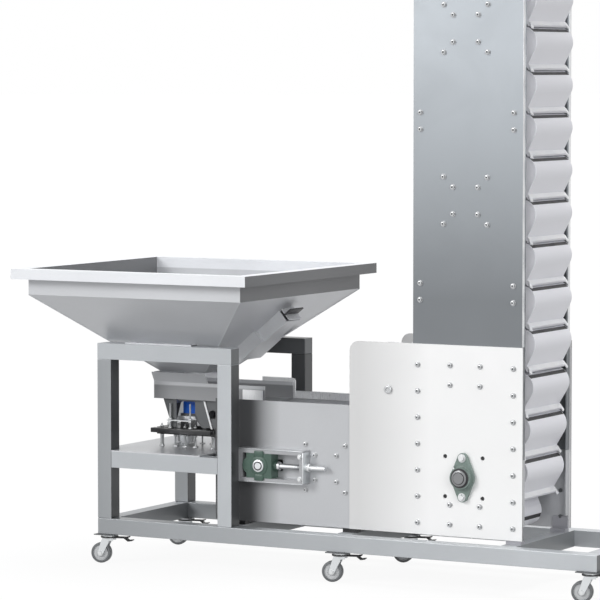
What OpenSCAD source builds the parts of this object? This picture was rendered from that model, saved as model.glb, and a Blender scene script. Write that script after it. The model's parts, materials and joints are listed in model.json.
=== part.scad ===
// Z-shaped bucket elevator with a feed hopper and a vibrating tray on a wheeled base.
// X runs along the machine, Y away from the viewer and Z up from the floor.
// Positions are worked out from the front right post of the hopper stand, and the
// whole machine is then moved so that the middle of its box stands on the origin.

/* [Base and stand] */
// Side of the square frame tube
tube = 50; // [40:1:52]
// Length of the wheeled base
base_len = 1706; // [1650:1:1800]
// Length of the hopper stand over its posts
stand_len = 484; // [470:1:500]
// Gap between the front posts and the casing
front_gap = 35; // [30:1:38]
// Gap between the back posts and the casing
back_gap = 44; // [40:1:50]
// Height of the top of the hopper stand above the base rails
stand_h = 549; // [530:1:570]
// Height of the shelf beams above the base rails
shelf_rise = 161; // [150:1:180]
// Thickness of the shelf plate
shelf_t = 4; // [3:0.5:5]

/* [Castors] */
// Height from the floor to the underside of the base
castor_h = 93; // [90:1:100]
// Diameter of a castor wheel
wheel_d = 64; // [58:1:66]
// Width of a castor wheel
wheel_w = 26; // [20:1:28]
// Distance from the swivel axis to the wheel axle
castor_trail = 26; // [22:1:30]
// Side of the castor top plate
castor_plate = 72; // [66:1:78]
// Swivel angle at which the castors stand
castor_turn = 15; // [0:1:40]

/* [Hopper] */
// Distance from the middle of the stand to the middle of the hopper
hopper_shift = 32; // [0:1:40]
// Outer side of the hopper rim
rim_w = 840; // [820:2:860]
// Height of the turned down rim band
rim_band = 32; // [25:1:36]
// Distance that the folded rim stands out past the upright wall
rim_lip = 40; // [30:1:50]
// Height of the upright hopper wall, rim included
skirt_h = 81; // [70:1:90]
// Angle between the hopper's slopes and the floor
slope_angle = 39.6; // [39:0.1:40]
// Gap between the hopper and the top beams of the stand
neck_gap = 12; // [10:1:20]
// Side of the square outlet
outlet_w = 160; // [150:1:165]
// Sheet thickness of the hopper
hopper_t = 3; // [2:0.5:3.5]
// Width of the slide gate plate
gate_w = 76; // [70:1:90]
// Length of the slide gate plate along the slope
gate_len = 316; // [300:1:320]
// Travel of the slide gate
gate_travel = 60; // [40:1:62]

/* [Feeder] */
// Length of the vibrating tray
tray_len = 401; // [390:1:410]
// Width of the vibrating tray
tray_w = 180; // [170:1:190]
// Height of the tray wall
tray_h = 54; // [45:1:60]
// Gap between the hopper outlet and the collar of the tray
outlet_gap = 1.9; // [1:0.1:3]
// Reach of the tray past the right face of the stand
tray_reach = 25; // [10:1:35]

/* [Buckets and chain] */
// Distance between bucket pins, five chain links
bucket_pitch = 127; // [127:0.5:130]
// Length of a bucket
bucket_len = 250; // [230:1:252]
// Wall thickness of a bucket
bucket_t = 3; // [2.5:0.5:4]
// Number of teeth on each of the chain wheels
wheel_teeth = 26; // [26:1:26]
// Radius of the inner bends of the chain
bend_r = 148.6; // [146:0.2:156]
// Radius of the return bend in the head
head_bend_r = 214; // [205:1:230]
// Height of the chain plates
chain_h = 20; // [16:1:22]
// Width of one chain strand
chain_w = 12; // [11:0.5:13]
// Thickness of a chain plate
chain_plate = 3; // [2:0.5:3.5]
// Radius of a chain roller
roller_r = 7; // [6:0.5:8]
// Diameter of the shafts
shaft_d = 30; // [25:1:32]

/* [Casing] */
// Number of whole column bays
column_bays = 5; // [4:1:6]
// Height of the lower shafts above the floor
shaft_z = 334; // [330:1:345]
// Distance from the stand to the lower corner shaft
corner_x = 753; // [740:1:765]
// Distance from the upper corner shaft to the drive shaft
head_reach = 712.5; // [690:0.5:730]
// Room for a chain strand between a bucket and the outside of the casing
chain_room = 42.5; // [41:0.5:46]
// Thickness of the casing side plates
plate_t = 4; // [3:0.5:5]
// Thickness of the corner plates
corner_t = 5; // [4:0.5:6]
// Width of the column side plates
column_w = 360; // [356:1:372]

/* [Hidden] */
$fn = 48;

// Widths
case_y = tube + front_gap;
case_w = bucket_len + 2 * chain_room;
stand_w = case_y + case_w + back_gap + tube;
skirt_w = rim_w - 2 * rim_lip;
neck_w = stand_w - 2 * (tube + neck_gap);

// Heights
collar_h = 30;
rail_top = castor_h + tube;
stand_top = rail_top + stand_h;
shelf_beam_z = rail_top + shelf_rise;
shelf_z = shelf_beam_z + tube;
feeder_z = shelf_z + shelf_t;
slope_run = 1 / tan(slope_angle);
slope_top = stand_top + (skirt_w - neck_w) / 2 / slope_run;
outlet_z = stand_top - (neck_w - outlet_w) / 2 / slope_run;
hopper_top = slope_top + skirt_h;
tray_z = outlet_z - outlet_gap - collar_h - tray_h;

// Places along X, from the right face of the hopper stand
base_x = -stand_len;
base_end = base_x + base_len;
base_mid = (base_x + base_end) / 2;
hopper_x = -stand_len / 2 - hopper_shift;
mid_y = case_y + case_w / 2;
castor_inset = 28;
castor_xs = [base_x + castor_inset, base_mid, base_end - castor_inset];
castor_ys = [tube / 2, stand_w - tube / 2];
cross_rail_xs = [base_x, -tube, 342, 890, base_end - tube];

// Chain geometry
link = bucket_pitch / 5;
wheel_pitch_r = round(10 * wheel_teeth * link / (2 * PI)) / 10;
bay = 4 * bucket_pitch;
top_z = shaft_z + column_bays * bay;
drive_x = corner_x + head_reach;
left_x = corner_x - wheel_pitch_r;
strand_out = 24.6;
right_x = corner_x + wheel_pitch_r + strand_out;
low_bend = [left_x - bend_r, shaft_z + wheel_pitch_r + bend_r];
high_bend = [right_x + head_bend_r, top_z - wheel_pitch_r - head_bend_r];
guide_z = low_bend[1] + 112;
slant = [right_x - corner_x, guide_z - shaft_z];
slant_angle = atan2(slant[1], slant[0]) - acos(wheel_pitch_r / norm(slant));
slant_foot = [corner_x + wheel_pitch_r * cos(slant_angle), shaft_z + wheel_pitch_r * sin(slant_angle)];
quarter = PI / 2;
fixed_len = wheel_pitch_r * (quarter + slant_angle * PI / 180)
    + norm([right_x, guide_z] - slant_foot)
    + high_bend[1] - guide_z
    + head_bend_r * quarter
    + drive_x - high_bend[0]
    + wheel_pitch_r * 2 * quarter
    + head_reach
    + wheel_pitch_r * quarter
    + top_z - low_bend[1]
    + bend_r * quarter
    + wheel_pitch_r * 2 * quarter;
tail_aim = 70;
bucket_count = round((fixed_len + corner_x + low_bend[0] - 2 * tail_aim) / bucket_pitch);
tail_x = (fixed_len + corner_x + low_bend[0] - bucket_count * bucket_pitch) / 2;
low_z = shaft_z - wheel_pitch_r;
high_low_z = top_z - wheel_pitch_r;

// Each stretch of the loop: kind, start or centre, end or radius with its angles
STRETCHES = [
    ["line", [tail_x, low_z], [corner_x, low_z]],
    ["arc", [corner_x, shaft_z], wheel_pitch_r, -90, 90 + slant_angle],
    ["line", slant_foot, [right_x, guide_z]],
    ["line", [right_x, guide_z], [right_x, high_bend[1]]],
    ["arc", high_bend, head_bend_r, 180, -90],
    ["line", [high_bend[0], high_low_z], [drive_x, high_low_z]],
    ["arc", [drive_x, top_z], wheel_pitch_r, -90, 180],
    ["line", [drive_x, top_z + wheel_pitch_r], [corner_x, top_z + wheel_pitch_r]],
    ["arc", [corner_x, top_z], wheel_pitch_r, 90, 90],
    ["line", [left_x, top_z], [left_x, low_bend[1]]],
    ["arc", low_bend, bend_r, 0, -90],
    ["line", [low_bend[0], shaft_z + wheel_pitch_r], [tail_x, shaft_z + wheel_pitch_r]],
    ["arc", [tail_x, shaft_z], wheel_pitch_r, 90, 180]
];
function stretch_len(p) = p[0] == "line" ? norm(p[2] - p[1]) : p[2] * abs(p[4]) * PI / 180;
function len_before(i) = i == 0 ? 0 : len_before(i - 1) + stretch_len(STRETCHES[i - 1]);
BEFORE = [for (i = [0:len(STRETCHES)]) len_before(i)];
loop_len = BEFORE[len(STRETCHES)];
function on_line(p, d) = let (u = (p[2] - p[1]) / norm(p[2] - p[1]))
    [p[1][0] + u[0] * d, p[1][1] + u[1] * d, atan2(u[1], u[0])];
function on_arc(p, d) = let (a = p[3] + sign(p[4]) * d / p[2] * 180 / PI)
    [p[1][0] + p[2] * cos(a), p[1][1] + p[2] * sin(a), a + 90 * sign(p[4])];
function on_stretch(i, d) = STRETCHES[i][0] == "line" ? on_line(STRETCHES[i], d) : on_arc(STRETCHES[i], d);
function stretch_at(s, i = 0) = s < BEFORE[i + 1] || i == len(STRETCHES) - 1 ? i : stretch_at(s, i + 1);
// Buckets lie square to the chain on the way down, hang upright on the way up, and
// lean a little where they pass each other at the wheels and in the head
bend_lean = 108;
head_lean = 4;
function bucket_turn(i, heading) =
    i == 1 || i == 2 ? heading :
    i == 3 ? 90 :
    i == 4 ? bend_lean :
    i == 5 ? head_lean :
    i == 6 ? 24 * sin(heading) + 12 * sin(2 * heading) :
    i == 8 ? -42 * sin(2 * (heading - 180)) :
    i == 12 ? -6 * sin(2 * (heading - 180)) : 0;
bucket_start = 86;
BUCKETS = [for (k = [0:bucket_count - 1])
    let (s = bucket_start + k * bucket_pitch, i = stretch_at(s), p = on_stretch(i, s - BEFORE[i]))
    [p[0], p[1], bucket_turn(i, p[2]), i]];

// Joints of the chain, five to a bucket
JOINTS = [for (k = [0:5 * bucket_count - 1])
    let (s = (bucket_start + k * link) % loop_len, i = stretch_at(s)) on_stretch(i, s - BEFORE[i])];

// Bucket section, measured from its pin
bucket_top = 16;
bucket_right = 62;
bucket_left = 52;
bucket_round = 45;
bucket_deep = 82;
bucket_knee = [-48, -54];
pin_r = 6;
end_rim = 4;
end_rise = 2;
boss_r = 11;
bucket_y = mid_y - bucket_len / 2;
chain_gap = 18;
chain_y = case_y + plate_t + chain_gap;
pin_len = bucket_y - chain_y - chain_w;

// Casing
column_x = left_x - 67.6;
column_end = column_x + column_w;
column_foot = shaft_z + 60;
column_head = top_z - 60;
boot_x = tail_x - 178.6;
boot_low = rail_top + 12;
boot_high = shaft_z + 196;
head_high = top_z + 179;
head_low = top_z - 196;
head_end_x = drive_x + 192;
edge_fold = 22;
inner_y = case_y + plate_t;
corner_y = case_y - corner_t;
corner_low_x = low_bend[0] - 132;
corner_high_z = low_bend[1] + 139;
corner_end = column_end + 5;
upper_low_z = high_bend[1] - head_bend_r + 10;
fold_top = high_bend[1] - 60;
upper_end_x = high_bend[0] + head_bend_r - 16;
play = 0.15;
seat = 0.3;
tooth_play = 0.6;
tooth_top = 7;

// Hopper
outlet_edge = [hopper_x + outlet_w / 2, outlet_z];
seat_rise = 14;
gate_t = 3;
gate_play = 1.5;
gate_start = 6;
gate_low = 119;
gate_step = 214;
gate_deep = 43;

// Take-up
take_len = 227;
take_z = 52;
take_out = 40;
take_bar = 14;
take_slot = 120;

// Drive
motor_r = 75;
motor_len = 270;
gearbox_w = 120;
chute_drop = 260;
chute_w = 220;

// The middle of the whole box stands on the origin
far_y = case_y + case_w + 40 + gearbox_w;
low_y = mid_y - rim_w / 2;
origin_x = (hopper_x - rim_w / 2 + head_end_x) / 2;
origin_y = (low_y + max(far_y, mid_y + rim_w / 2)) / 2;

// Helpers
module place() { translate([-origin_x, -origin_y, 0]) children(); }
module slab(y, t) { translate([0, y + t, 0]) rotate([90, 0, 0]) linear_extrude(height = t) children(); }
module far_side() { translate([0, 2 * mid_y, 0]) mirror([0, 1, 0]) children(); }
module both_sides() { children(); far_side() children(); }
module rod(x, z, y, len, r) { translate([x, y + len, z]) rotate([90, 0, 0]) cylinder(h = len, r = r); }
module box(x, y, z, dx, dy, dz) { translate([x, y, z]) cube([dx, dy, dz]); }
module dot(x, z, r) { translate([x, z]) circle(r = r); }
module bar2d(x, z, dx, dz) { translate([x, z]) square([dx, dz]); }
// Two circles joined by their outer tangents
module tapered_link(r1, r2, d) {
    a = acos((r1 - r2) / d);
    circle(r = r1);
    translate([0, d]) circle(r = r2);
    polygon([[r1 * sin(a), r1 * cos(a)], [r2 * sin(a), d + r2 * cos(a)],
        [-r2 * sin(a), d + r2 * cos(a)], [-r1 * sin(a), r1 * cos(a)]]);
}

// Base
module base_long_rails() {
    color("#9a9ea2") place() for (y = [0, stand_w - tube])
        box(base_x, y, castor_h, base_len, tube, tube);
}
module base_cross_rails() {
    color("#8d9195") place() for (x = cross_rail_xs)
        box(x, tube, castor_h, tube, stand_w - 2 * tube, tube);
}
module stand_posts() {
    color("#9a9ea2") place() for (x = [base_x, -tube], y = [0, stand_w - tube])
        box(x, y, rail_top, tube, tube, stand_h - tube);
}
module stand_top_beams() {
    z = stand_top - tube;
    color("#a3a7ab") place() for (y = [0, stand_w - tube])
        box(base_x, y, z, stand_len, tube, tube);
}
module stand_shelf_beams() {
    inner_x = boot_x - 8 - tube;
    color("#a3a7ab") place() {
        for (y = [0, stand_w - tube])
            box(base_x + tube, y, shelf_beam_z, stand_len - 2 * tube, tube, tube);
        for (x = [base_x, inner_x])
            box(x, tube, shelf_beam_z, tube, stand_w - 2 * tube, tube);
    }
}
module shelf_plate() {
    color("#b4b8bb") place() difference() {
        box(base_x, 0, shelf_z, boot_x - 8 - base_x, stand_w, shelf_t);
        for (y = [-1, stand_w - tube - seat])
            box(base_x - 1, y, shelf_z - 1, tube + 1 + seat, tube + 1 + seat, shelf_t + 2);
    }
}

// Castors
head_r = 24;
head_drop = 10;
plate_thick = 3;
fork_gap = 2;
fork_t = 3;
wheel_r = wheel_d / 2;
module castor_at(i) {
    translate([castor_xs[i % 3], castor_ys[floor(i / 3)], 0]) rotate([0, 0, castor_turn]) children();
}
module castor_top_plates() {
    half = castor_plate / 2;
    color("#b9bcbe") place() for (x = castor_xs, y = castor_ys)
        translate([x, y, castor_h - plate_thick]) {
            difference() {
                translate([-half, -half, 0]) cube([castor_plate, castor_plate, plate_thick]);
                for (u = [-1, 1], v = [-1, 1])
                    translate([u * (half - 9), v * (half - 9), -1]) cylinder(h = plate_thick + 2, r = 4);
            }
            translate([0, 0, -5]) cylinder(h = 5, r = 12);
        }
}
module castor_fork(i) {
    leg_y = wheel_w / 2 + fork_gap;
    head_z = castor_h - plate_thick - 1 - head_drop;
    color("#a9acae") place() castor_at(i) {
        difference() {
            translate([0, 0, head_z]) cylinder(h = head_drop, r = head_r);
            translate([0, 0, head_z + head_drop - 5]) cylinder(h = 6, r = 12 + play);
        }
        for (y = [leg_y, -leg_y - fork_t]) slab(y, fork_t) difference() {
            union() {
                translate([-castor_trail, wheel_r])
                    rotate(-atan2(castor_trail - 6, head_z + 1 - wheel_r))
                    tapered_link(9, 12, norm([castor_trail - 6, head_z + 1 - wheel_r]) - 12);
                bar2d(-head_r + 4, head_z - 8, 2 * head_r - 12, 9);
            }
            dot(-castor_trail, wheel_r, 4 + play);
        }
    }
}
module castor_wheel(i) {
    color("#8f9295") place() castor_at(i) translate([-castor_trail, 0, wheel_r]) rotate([90, 0, 0]) {
        rotate_extrude() polygon([
            [5, -wheel_w / 2], [9, -wheel_w / 2], [11, -wheel_w / 2 + 4], [wheel_r - 8, -wheel_w / 2 + 4],
            [wheel_r - 6, -wheel_w / 2 + 1], [wheel_r - 2, -wheel_w / 2 + 2], [wheel_r, -wheel_w / 2 + 6],
            [wheel_r, wheel_w / 2 - 6], [wheel_r - 2, wheel_w / 2 - 2], [wheel_r - 6, wheel_w / 2 - 1],
            [wheel_r - 8, wheel_w / 2 - 4], [11, wheel_w / 2 - 4], [9, wheel_w / 2], [5, wheel_w / 2]]);
        cylinder(h = wheel_w + 2 * (fork_gap + fork_t), r = 4, center = true);
        cylinder(h = wheel_w, r = 5.5, center = true);
    }
}
module castor_fork_1() { castor_fork(0); }
module castor_fork_2() { castor_fork(1); }
module castor_fork_3() { castor_fork(2); }
module castor_fork_4() { castor_fork(3); }
module castor_fork_5() { castor_fork(4); }
module castor_fork_6() { castor_fork(5); }
module castor_wheel_1() { castor_wheel(0); }
module castor_wheel_2() { castor_wheel(1); }
module castor_wheel_3() { castor_wheel(2); }
module castor_wheel_4() { castor_wheel(3); }
module castor_wheel_5() { castor_wheel(4); }
module castor_wheel_6() { castor_wheel(5); }

// Hopper
module hopper_at() { translate([hopper_x, mid_y, 0]) children(); }
module square_block(half, z, h) { translate([-half, -half, z]) cube([2 * half, 2 * half, h]); }
module frustum(low_half, low, high_half, high) {
    hull() {
        square_block(low_half, low, 0.01);
        square_block(high_half, high - 0.01, 0.01);
    }
}
module hopper_cone() {
    wall = hopper_t / sin(slope_angle);
    color("#a7abae") place() hopper_at() difference() {
        frustum(outlet_w / 2, outlet_z, skirt_w / 2, slope_top);
        frustum(outlet_w / 2 - wall - slope_run, outlet_z - 1, skirt_w / 2 - wall + slope_run, slope_top + 1);
        translate([0, -gate_w / 2 + 8, outlet_z - 2]) cube([outlet_w, gate_w - 16, 42]);
    }
    color("#a7abae") place() for (side = [-1, 1]) {
        edge = side < 0 ? tube : stand_w - tube;
        foot = mid_y + side * neck_w / 2;
        translate([hopper_x - 120, 0, 0]) rotate([90, 0, 90]) linear_extrude(height = 240) polygon([
            [edge + side * 30, stand_top], [foot - side * hopper_t, stand_top],
            [foot + side * (seat_rise * slope_run - hopper_t), stand_top + seat_rise],
            [foot + side * seat_rise * slope_run, stand_top + seat_rise],
            [foot + side * 4 * slope_run, stand_top + 4], [edge + side * 30, stand_top + 4]]);
    }
}
module hopper_skirt() {
    half = skirt_w / 2;
    color("#b4b8bb") place() hopper_at() difference() {
        union() {
            square_block(half, slope_top, skirt_h);
            square_block(rim_w / 2, hopper_top - rim_band, rim_band);
        }
        square_block(half - hopper_t, slope_top - 1, skirt_h + 2);
        difference() {
            square_block(rim_w / 2 - hopper_t, hopper_top - rim_band - 1, rim_band + 1 - hopper_t);
            square_block(half, hopper_top - rim_band - 2, rim_band + 4);
        }
    }
}
module slope_frame() {
    translate([outlet_edge[0], mid_y, outlet_edge[1]]) rotate([0, -slope_angle, 0]) children();
}
module gate_box(from, to, w) {
    box(from, -w / 2, -gate_deep, to - from, w, gate_t);
    for (v = [-1, 1]) box(from, v * (w / 2 - gate_t / 2) - gate_t / 2, -gate_deep, to - from, gate_t, gate_deep - seat);
}
module gate_guides() {
    color("#9a9ea2") place() slope_frame() {
        gate_box(gate_low, gate_step, gate_w + 46);
        gate_box(gate_step - gate_t, gate_start + gate_len - 6, gate_w + 2 * gate_play + 2 * gate_t);
        for (v = [0, 1]) mirror([0, v, 0])
            box(gate_step - gate_t, gate_w / 2 + gate_play, -gate_deep, gate_t, 23 - gate_play, gate_deep - seat);
    }
}
module hopper_gate() {
    color("#b4b8bb") place() slope_frame() {
        box(gate_start, -gate_w / 2, -seat - gate_t, gate_len, gate_w, gate_t);
        box(gate_start + gate_len, -gate_w / 2, -seat - gate_deep, gate_t, gate_w, gate_deep);
        box(gate_step - gate_t - gate_travel - 8.5, -gate_w / 2 - 12, -seat - gate_t - 6, 8, gate_w + 24, 6.5);
    }
}

// Feeder
tray_t = 3;
tray_x = tray_reach - tray_len;
tray_y = mid_y - tray_w / 2;
collar_len = 196;
spring_lean = 26;
collar_flare = 16;
feeder_mid = -230;
module feeder_tray() {
    color("#c3c7c9") place() {
        difference() {
            box(tray_x, tray_y, tray_z, tray_len, tray_w, tray_h);
            box(tray_x + tray_t, tray_y + tray_t, tray_z + tray_t, tray_len, tray_w - 2 * tray_t, tray_h);
        }
        for (v = [0, 1]) translate([0, mid_y, 0]) mirror([0, v, 0]) translate([tray_x, -tray_w / 2, tray_z + tray_h])
            rotate([90, 0, 90]) linear_extrude(height = collar_len)
            polygon([[0, 0], [tray_t, 0], [tray_t - collar_flare, collar_h], [-collar_flare, collar_h]]);
        box(tray_x, tray_y, tray_z + tray_h, tray_t, tray_w, collar_h);
    }
}
module feeder_brackets() {
    top = tray_z;
    low = feeder_z + 66;
    color("#9fa3a6") place() both_sides() slab(tray_y + 14, 4) difference() {
        polygon([[feeder_mid - 70, top], [feeder_mid + 160, top], [feeder_mid + 120, top - 40],
            [feeder_mid + 70, low], [feeder_mid + 20, low], [feeder_mid - 30, top - 30]]);
        dot(feeder_mid + 60, top - 45, 14);
    }
}
module feeder_springs() {
    low = feeder_z + 59;
    color("#5c6063") place() for (x = [tray_x + 30, tray_x + 160], y = [mid_y - 52, mid_y + 22])
        slab(y, 30) polygon([[x, low], [x + 7, low], [x + 7 + spring_lean, tray_z], [x + spring_lean, tray_z]]);
}
module feeder_coil() {
    low = feeder_z + 59;
    gap = 2;
    arm = 10;
    x = tray_x + 78;
    color("#2f62a8") place() {
        box(x, mid_y - 40, low + 46, 48, 24, tray_z - arm - gap - low - 46);
        box(x, mid_y + 16, low + 46, 48, 24, tray_z - arm - gap - low - 46);
        box(x - 6, mid_y - 48, low, 60, 96, 46);
        box(x - 6, mid_y - 48, tray_z - arm, 60, 96, arm);
    }
}
module feeder_base() {
    color("#303234") place() {
        box(tray_x - 8, mid_y - 60, feeder_z + 37, 215, 120, 22);
        for (x = [tray_x + 4, tray_x + 195], y = [mid_y - 48, mid_y + 48])
            translate([x, y, feeder_z]) cylinder(h = 37, r = 6);
    }
}

// Casing
module boot_outline() {
    difference() {
        union() {
            bar2d(boot_x, boot_low, column_x - boot_x, boot_high - boot_low);
            bar2d(boot_x, boot_low, column_end - boot_x, column_foot - boot_low);
        }
        dot(corner_x, shaft_z, shaft_d / 2 + 10);
        bar2d(tail_x - take_slot / 2, shaft_z - shaft_d / 2 - 3, take_slot, shaft_d + 6);
    }
}
module boot_sides() {
    color("#a5a9ac") place() both_sides() {
        slab(case_y, plate_t) boot_outline();
        box(column_end - plate_t, inner_y, boot_low + 40, plate_t, edge_fold - plate_t, column_foot - boot_low - 40);
    }
}
module boot_end() {
    color("#9a9ea2") place() {
        high = shaft_z + 46 - boot_low;
        box(boot_x, inner_y, boot_low, 3, case_w - 2 * plate_t, high);
        box(boot_x + 3, inner_y, boot_low, 20, 3, high);
        box(boot_x + 3, case_y + case_w - plate_t - 3, boot_low, 20, 3, high);
    }
}
module casing_feet() {
    color("#8d9195") place() both_sides() for (x = [cross_rail_xs[1], cross_rail_xs[2], cross_rail_xs[3]]) {
        box(x, case_y, rail_top, tube, 25, boot_low - rail_top);
        box(x, inner_y, boot_low, tube, 5, 36);
    }
}
module lower_corner_outline() {
    difference() {
        union() {
            bar2d(corner_low_x, boot_low, corner_end - corner_low_x, corner_high_z - 30 - boot_low);
            bar2d(corner_low_x + 30, boot_low, corner_end - corner_low_x - 30, corner_high_z - boot_low);
            dot(corner_low_x + 30, corner_high_z - 30, 30);
        }
        dot(corner_x, shaft_z, shaft_d / 2 + 10);
        for (u = [-1, 1], v = [-1, 1]) dot(corner_x + 62 * u, shaft_z + 60 * v, 6.5);
    }
}
module lower_corner_plates() {
    color("#d6d9db") place() both_sides() slab(corner_y, corner_t) lower_corner_outline();
}
module column_sides() {
    color("#b0b4b7") place() both_sides() {
        slab(case_y, plate_t) bar2d(column_x, column_foot, column_w, column_head - column_foot);
        box(column_end - plate_t, inner_y, column_foot, plate_t, edge_fold - plate_t, fold_top - column_foot);
    }
}
module column_spreaders() {
    color("#8d9195") place() for (k = [1:column_bays - 1]) {
        z = column_foot + (k + 0.5) * bay;
        difference() {
            box(corner_x - 35, inner_y, z - 40, 80, case_w - 2 * plate_t, 80);
            box(corner_x - 31, inner_y - 1, z - 36, 72, case_w, 72);
        }
        both_sides() difference() {
            box(corner_x - 76, inner_y, z - 80, 152, 6, 160);
            box(corner_x - 31, inner_y - 1, z - 36, 72, 8, 72);
        }
    }
}
module upper_corner_outline() {
    difference() {
        union() {
            bar2d(column_x - 5, upper_low_z + 30, upper_end_x - column_x + 5, head_high - upper_low_z - 30);
            bar2d(column_x - 5, upper_low_z, upper_end_x - column_x - 25, head_high - upper_low_z);
            dot(upper_end_x - 30, upper_low_z + 30, 30);
        }
        dot(corner_x, top_z, shaft_d / 2 + 10);
        for (u = [-1, 1], v = [-1, 1]) dot(corner_x + 62 * u, top_z + 60 * v, 6.5);
    }
}
module upper_corner_plates() {
    color("#d6d9db") place() both_sides() slab(corner_y, corner_t) upper_corner_outline();
}
module head_outline() {
    difference() {
        union() {
            bar2d(column_end, head_low, head_end_x - 60 - column_end, head_high - head_low);
            bar2d(column_end, head_low, head_end_x - column_end, head_high - head_low - 60);
            dot(head_end_x - 60, head_high - 60, 60);
            bar2d(column_x, column_head, column_end - column_x, head_high - column_head);
        }
        dot(corner_x, top_z, shaft_d / 2 + 10);
        dot(drive_x, top_z, shaft_d / 2 + 10);
    }
}
module head_sides() {
    color("#a5a9ac") place() both_sides() slab(case_y, plate_t) head_outline();
}
module head_end() {
    color("#9a9ea2") place() {
        box(head_end_x - 3, inner_y, head_low, 3, case_w - 2 * plate_t, head_high - head_low - 60);
        box(column_x, inner_y, head_high - 3, head_end_x - 62 - column_x, case_w - 2 * plate_t, 3);
    }
}
module discharge_chute() {
    top = head_low;
    low = head_low - chute_drop;
    x = drive_x - 50;
    color("#b4b8bb") place() difference() {
        union() {
            hull() {
                box(x, case_y, top - 0.01, 3 + head_end_x - 3 - x, case_w, 0.01);
                box(x + 60, mid_y - chute_w / 2, low + 60, chute_w - 60, chute_w, 0.01);
            }
            box(x + 60, mid_y - chute_w / 2, low, chute_w - 60, chute_w, 60.01);
        }
        hull() {
            box(x + 3, case_y + 3, top, head_end_x - x - 6, case_w - 6, 0.5);
            box(x + 63, mid_y - chute_w / 2 + 3, low + 60, chute_w - 66, chute_w - 6, 0.01);
        }
        box(x + 63, mid_y - chute_w / 2 + 3, low - 1, chute_w - 66, chute_w - 6, 62);
    }
}
module casing_ties() {
    color("#84888b") place() {
        for (x = [320, 540]) rod(x, shaft_z - 33, inner_y, case_w - 2 * plate_t, 12);
        for (x = [corner_x + 220, drive_x - 180]) rod(x, top_z - 33, inner_y, case_w - 2 * plate_t, 12);
    }
}

// Chain, wheels and guides
module loop_region(o) {
    r = wheel_pitch_r + o;
    difference() {
        union() {
            polygon([
                [tail_x, shaft_z - r], [corner_x, shaft_z - r],
                [corner_x + r * cos(slant_angle), shaft_z + r * sin(slant_angle)],
                [right_x + o, guide_z], [right_x + o, high_bend[1]], high_bend,
                [high_bend[0], top_z - r], [drive_x, top_z - r], [drive_x, top_z + r],
                [corner_x, top_z + r], [left_x - o, top_z], [left_x - o, low_bend[1]], low_bend,
                [low_bend[0], shaft_z + r], [tail_x, shaft_z + r]]);
            dot(corner_x, shaft_z, r);
            dot(corner_x, top_z, r);
            dot(drive_x, top_z, r);
            dot(tail_x, shaft_z, r);
        }
        dot(low_bend[0], low_bend[1], bend_r - o);
        dot(high_bend[0], high_bend[1], head_bend_r - o);
    }
}
module chain_band() {
    difference() {
        loop_region(chain_h / 2);
        loop_region(-chain_h / 2);
    }
}
module chain_loops() {
    color("#54585b") place() both_sides() {
        for (y = [chain_y, chain_y + chain_w - chain_plate]) slab(y, chain_plate) chain_band();
        for (p = JOINTS) rod(p[0], p[1], chain_y + chain_plate / 2, chain_w - chain_plate, roller_r);
    }
}
// Each wheel's centre, and its stretch of the loop
WHEELS = [[[tail_x, shaft_z], 12], [[corner_x, shaft_z], 1], [[corner_x, top_z], 8], [[drive_x, top_z], 6]];
// Direction from a wheel's centre to a joint of the chain that lies on it
function joint_angle(i) = let (joints = ceil((BEFORE[i] - bucket_start) / link))
    on_arc(STRETCHES[i], bucket_start + joints * link - BEFORE[i])[2] - 90 * sign(STRETCHES[i][4]);
module tooth_gap() {
    r = roller_r + tooth_play;
    translate([wheel_pitch_r, 0]) circle(r = r, $fn = 24);
    polygon([[wheel_pitch_r, -r], [wheel_pitch_r + tooth_top + 5, -r - 3],
        [wheel_pitch_r + tooth_top + 5, r + 3], [wheel_pitch_r, r]]);
}
module chain_wheels() {
    color("#6f7376") place() both_sides() for (w = WHEELS) let (p = w[0], turn = joint_angle(w[1])) {
        slab(chain_y + chain_plate + seat, chain_w - 2 * (chain_plate + seat)) translate(p) difference() {
            circle(r = wheel_pitch_r + tooth_top);
            circle(r = shaft_d / 2 + play);
            for (t = [0:wheel_teeth - 1]) rotate(turn + t * 360 / wheel_teeth) tooth_gap();
            for (a = [0:60:300]) translate([0.55 * wheel_pitch_r * cos(a), 0.55 * wheel_pitch_r * sin(a)])
                circle(r = 0.17 * wheel_pitch_r);
        }
        slab(chain_y + chain_plate + seat, bucket_y - end_rise - 0.5 - chain_y - chain_plate - seat) difference() {
            dot(p[0], p[1], shaft_d / 2 + 10);
            dot(p[0], p[1], shaft_d / 2 + play);
        }
    }
}
module chain_guides() {
    rail = 8;
    color("#e3e5e6") place() both_sides() slab(inner_y, chain_y + chain_w - inner_y) {
        difference() {
            intersection() {
                difference() {
                    loop_region(-chain_h / 2 - seat);
                    loop_region(-chain_h / 2 - seat - rail);
                }
                union() {
                    bar2d(tail_x + 115, shaft_z, low_bend[0] - tail_x - 115, 200);
                    bar2d(left_x, low_bend[1] + 20, 60, top_z - low_bend[1] - 140);
                    bar2d(corner_x + 115, top_z, drive_x - corner_x - 230, 200);
                }
            }
        }
        difference() {
            intersection() {
                difference() {
                    loop_region(chain_h / 2 + seat + rail);
                    loop_region(chain_h / 2 + seat);
                }
                union() {
                    bar2d(tail_x + 115, low_z - 60, corner_x - tail_x - 230, 60);
                    bar2d(right_x, guide_z + 20, 60, high_bend[1] - guide_z - 90);
                    bar2d(high_bend[0] + 70, high_low_z - 60, drive_x - high_bend[0] - 185, 60);
                }
            }
        }
    }
}
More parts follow.
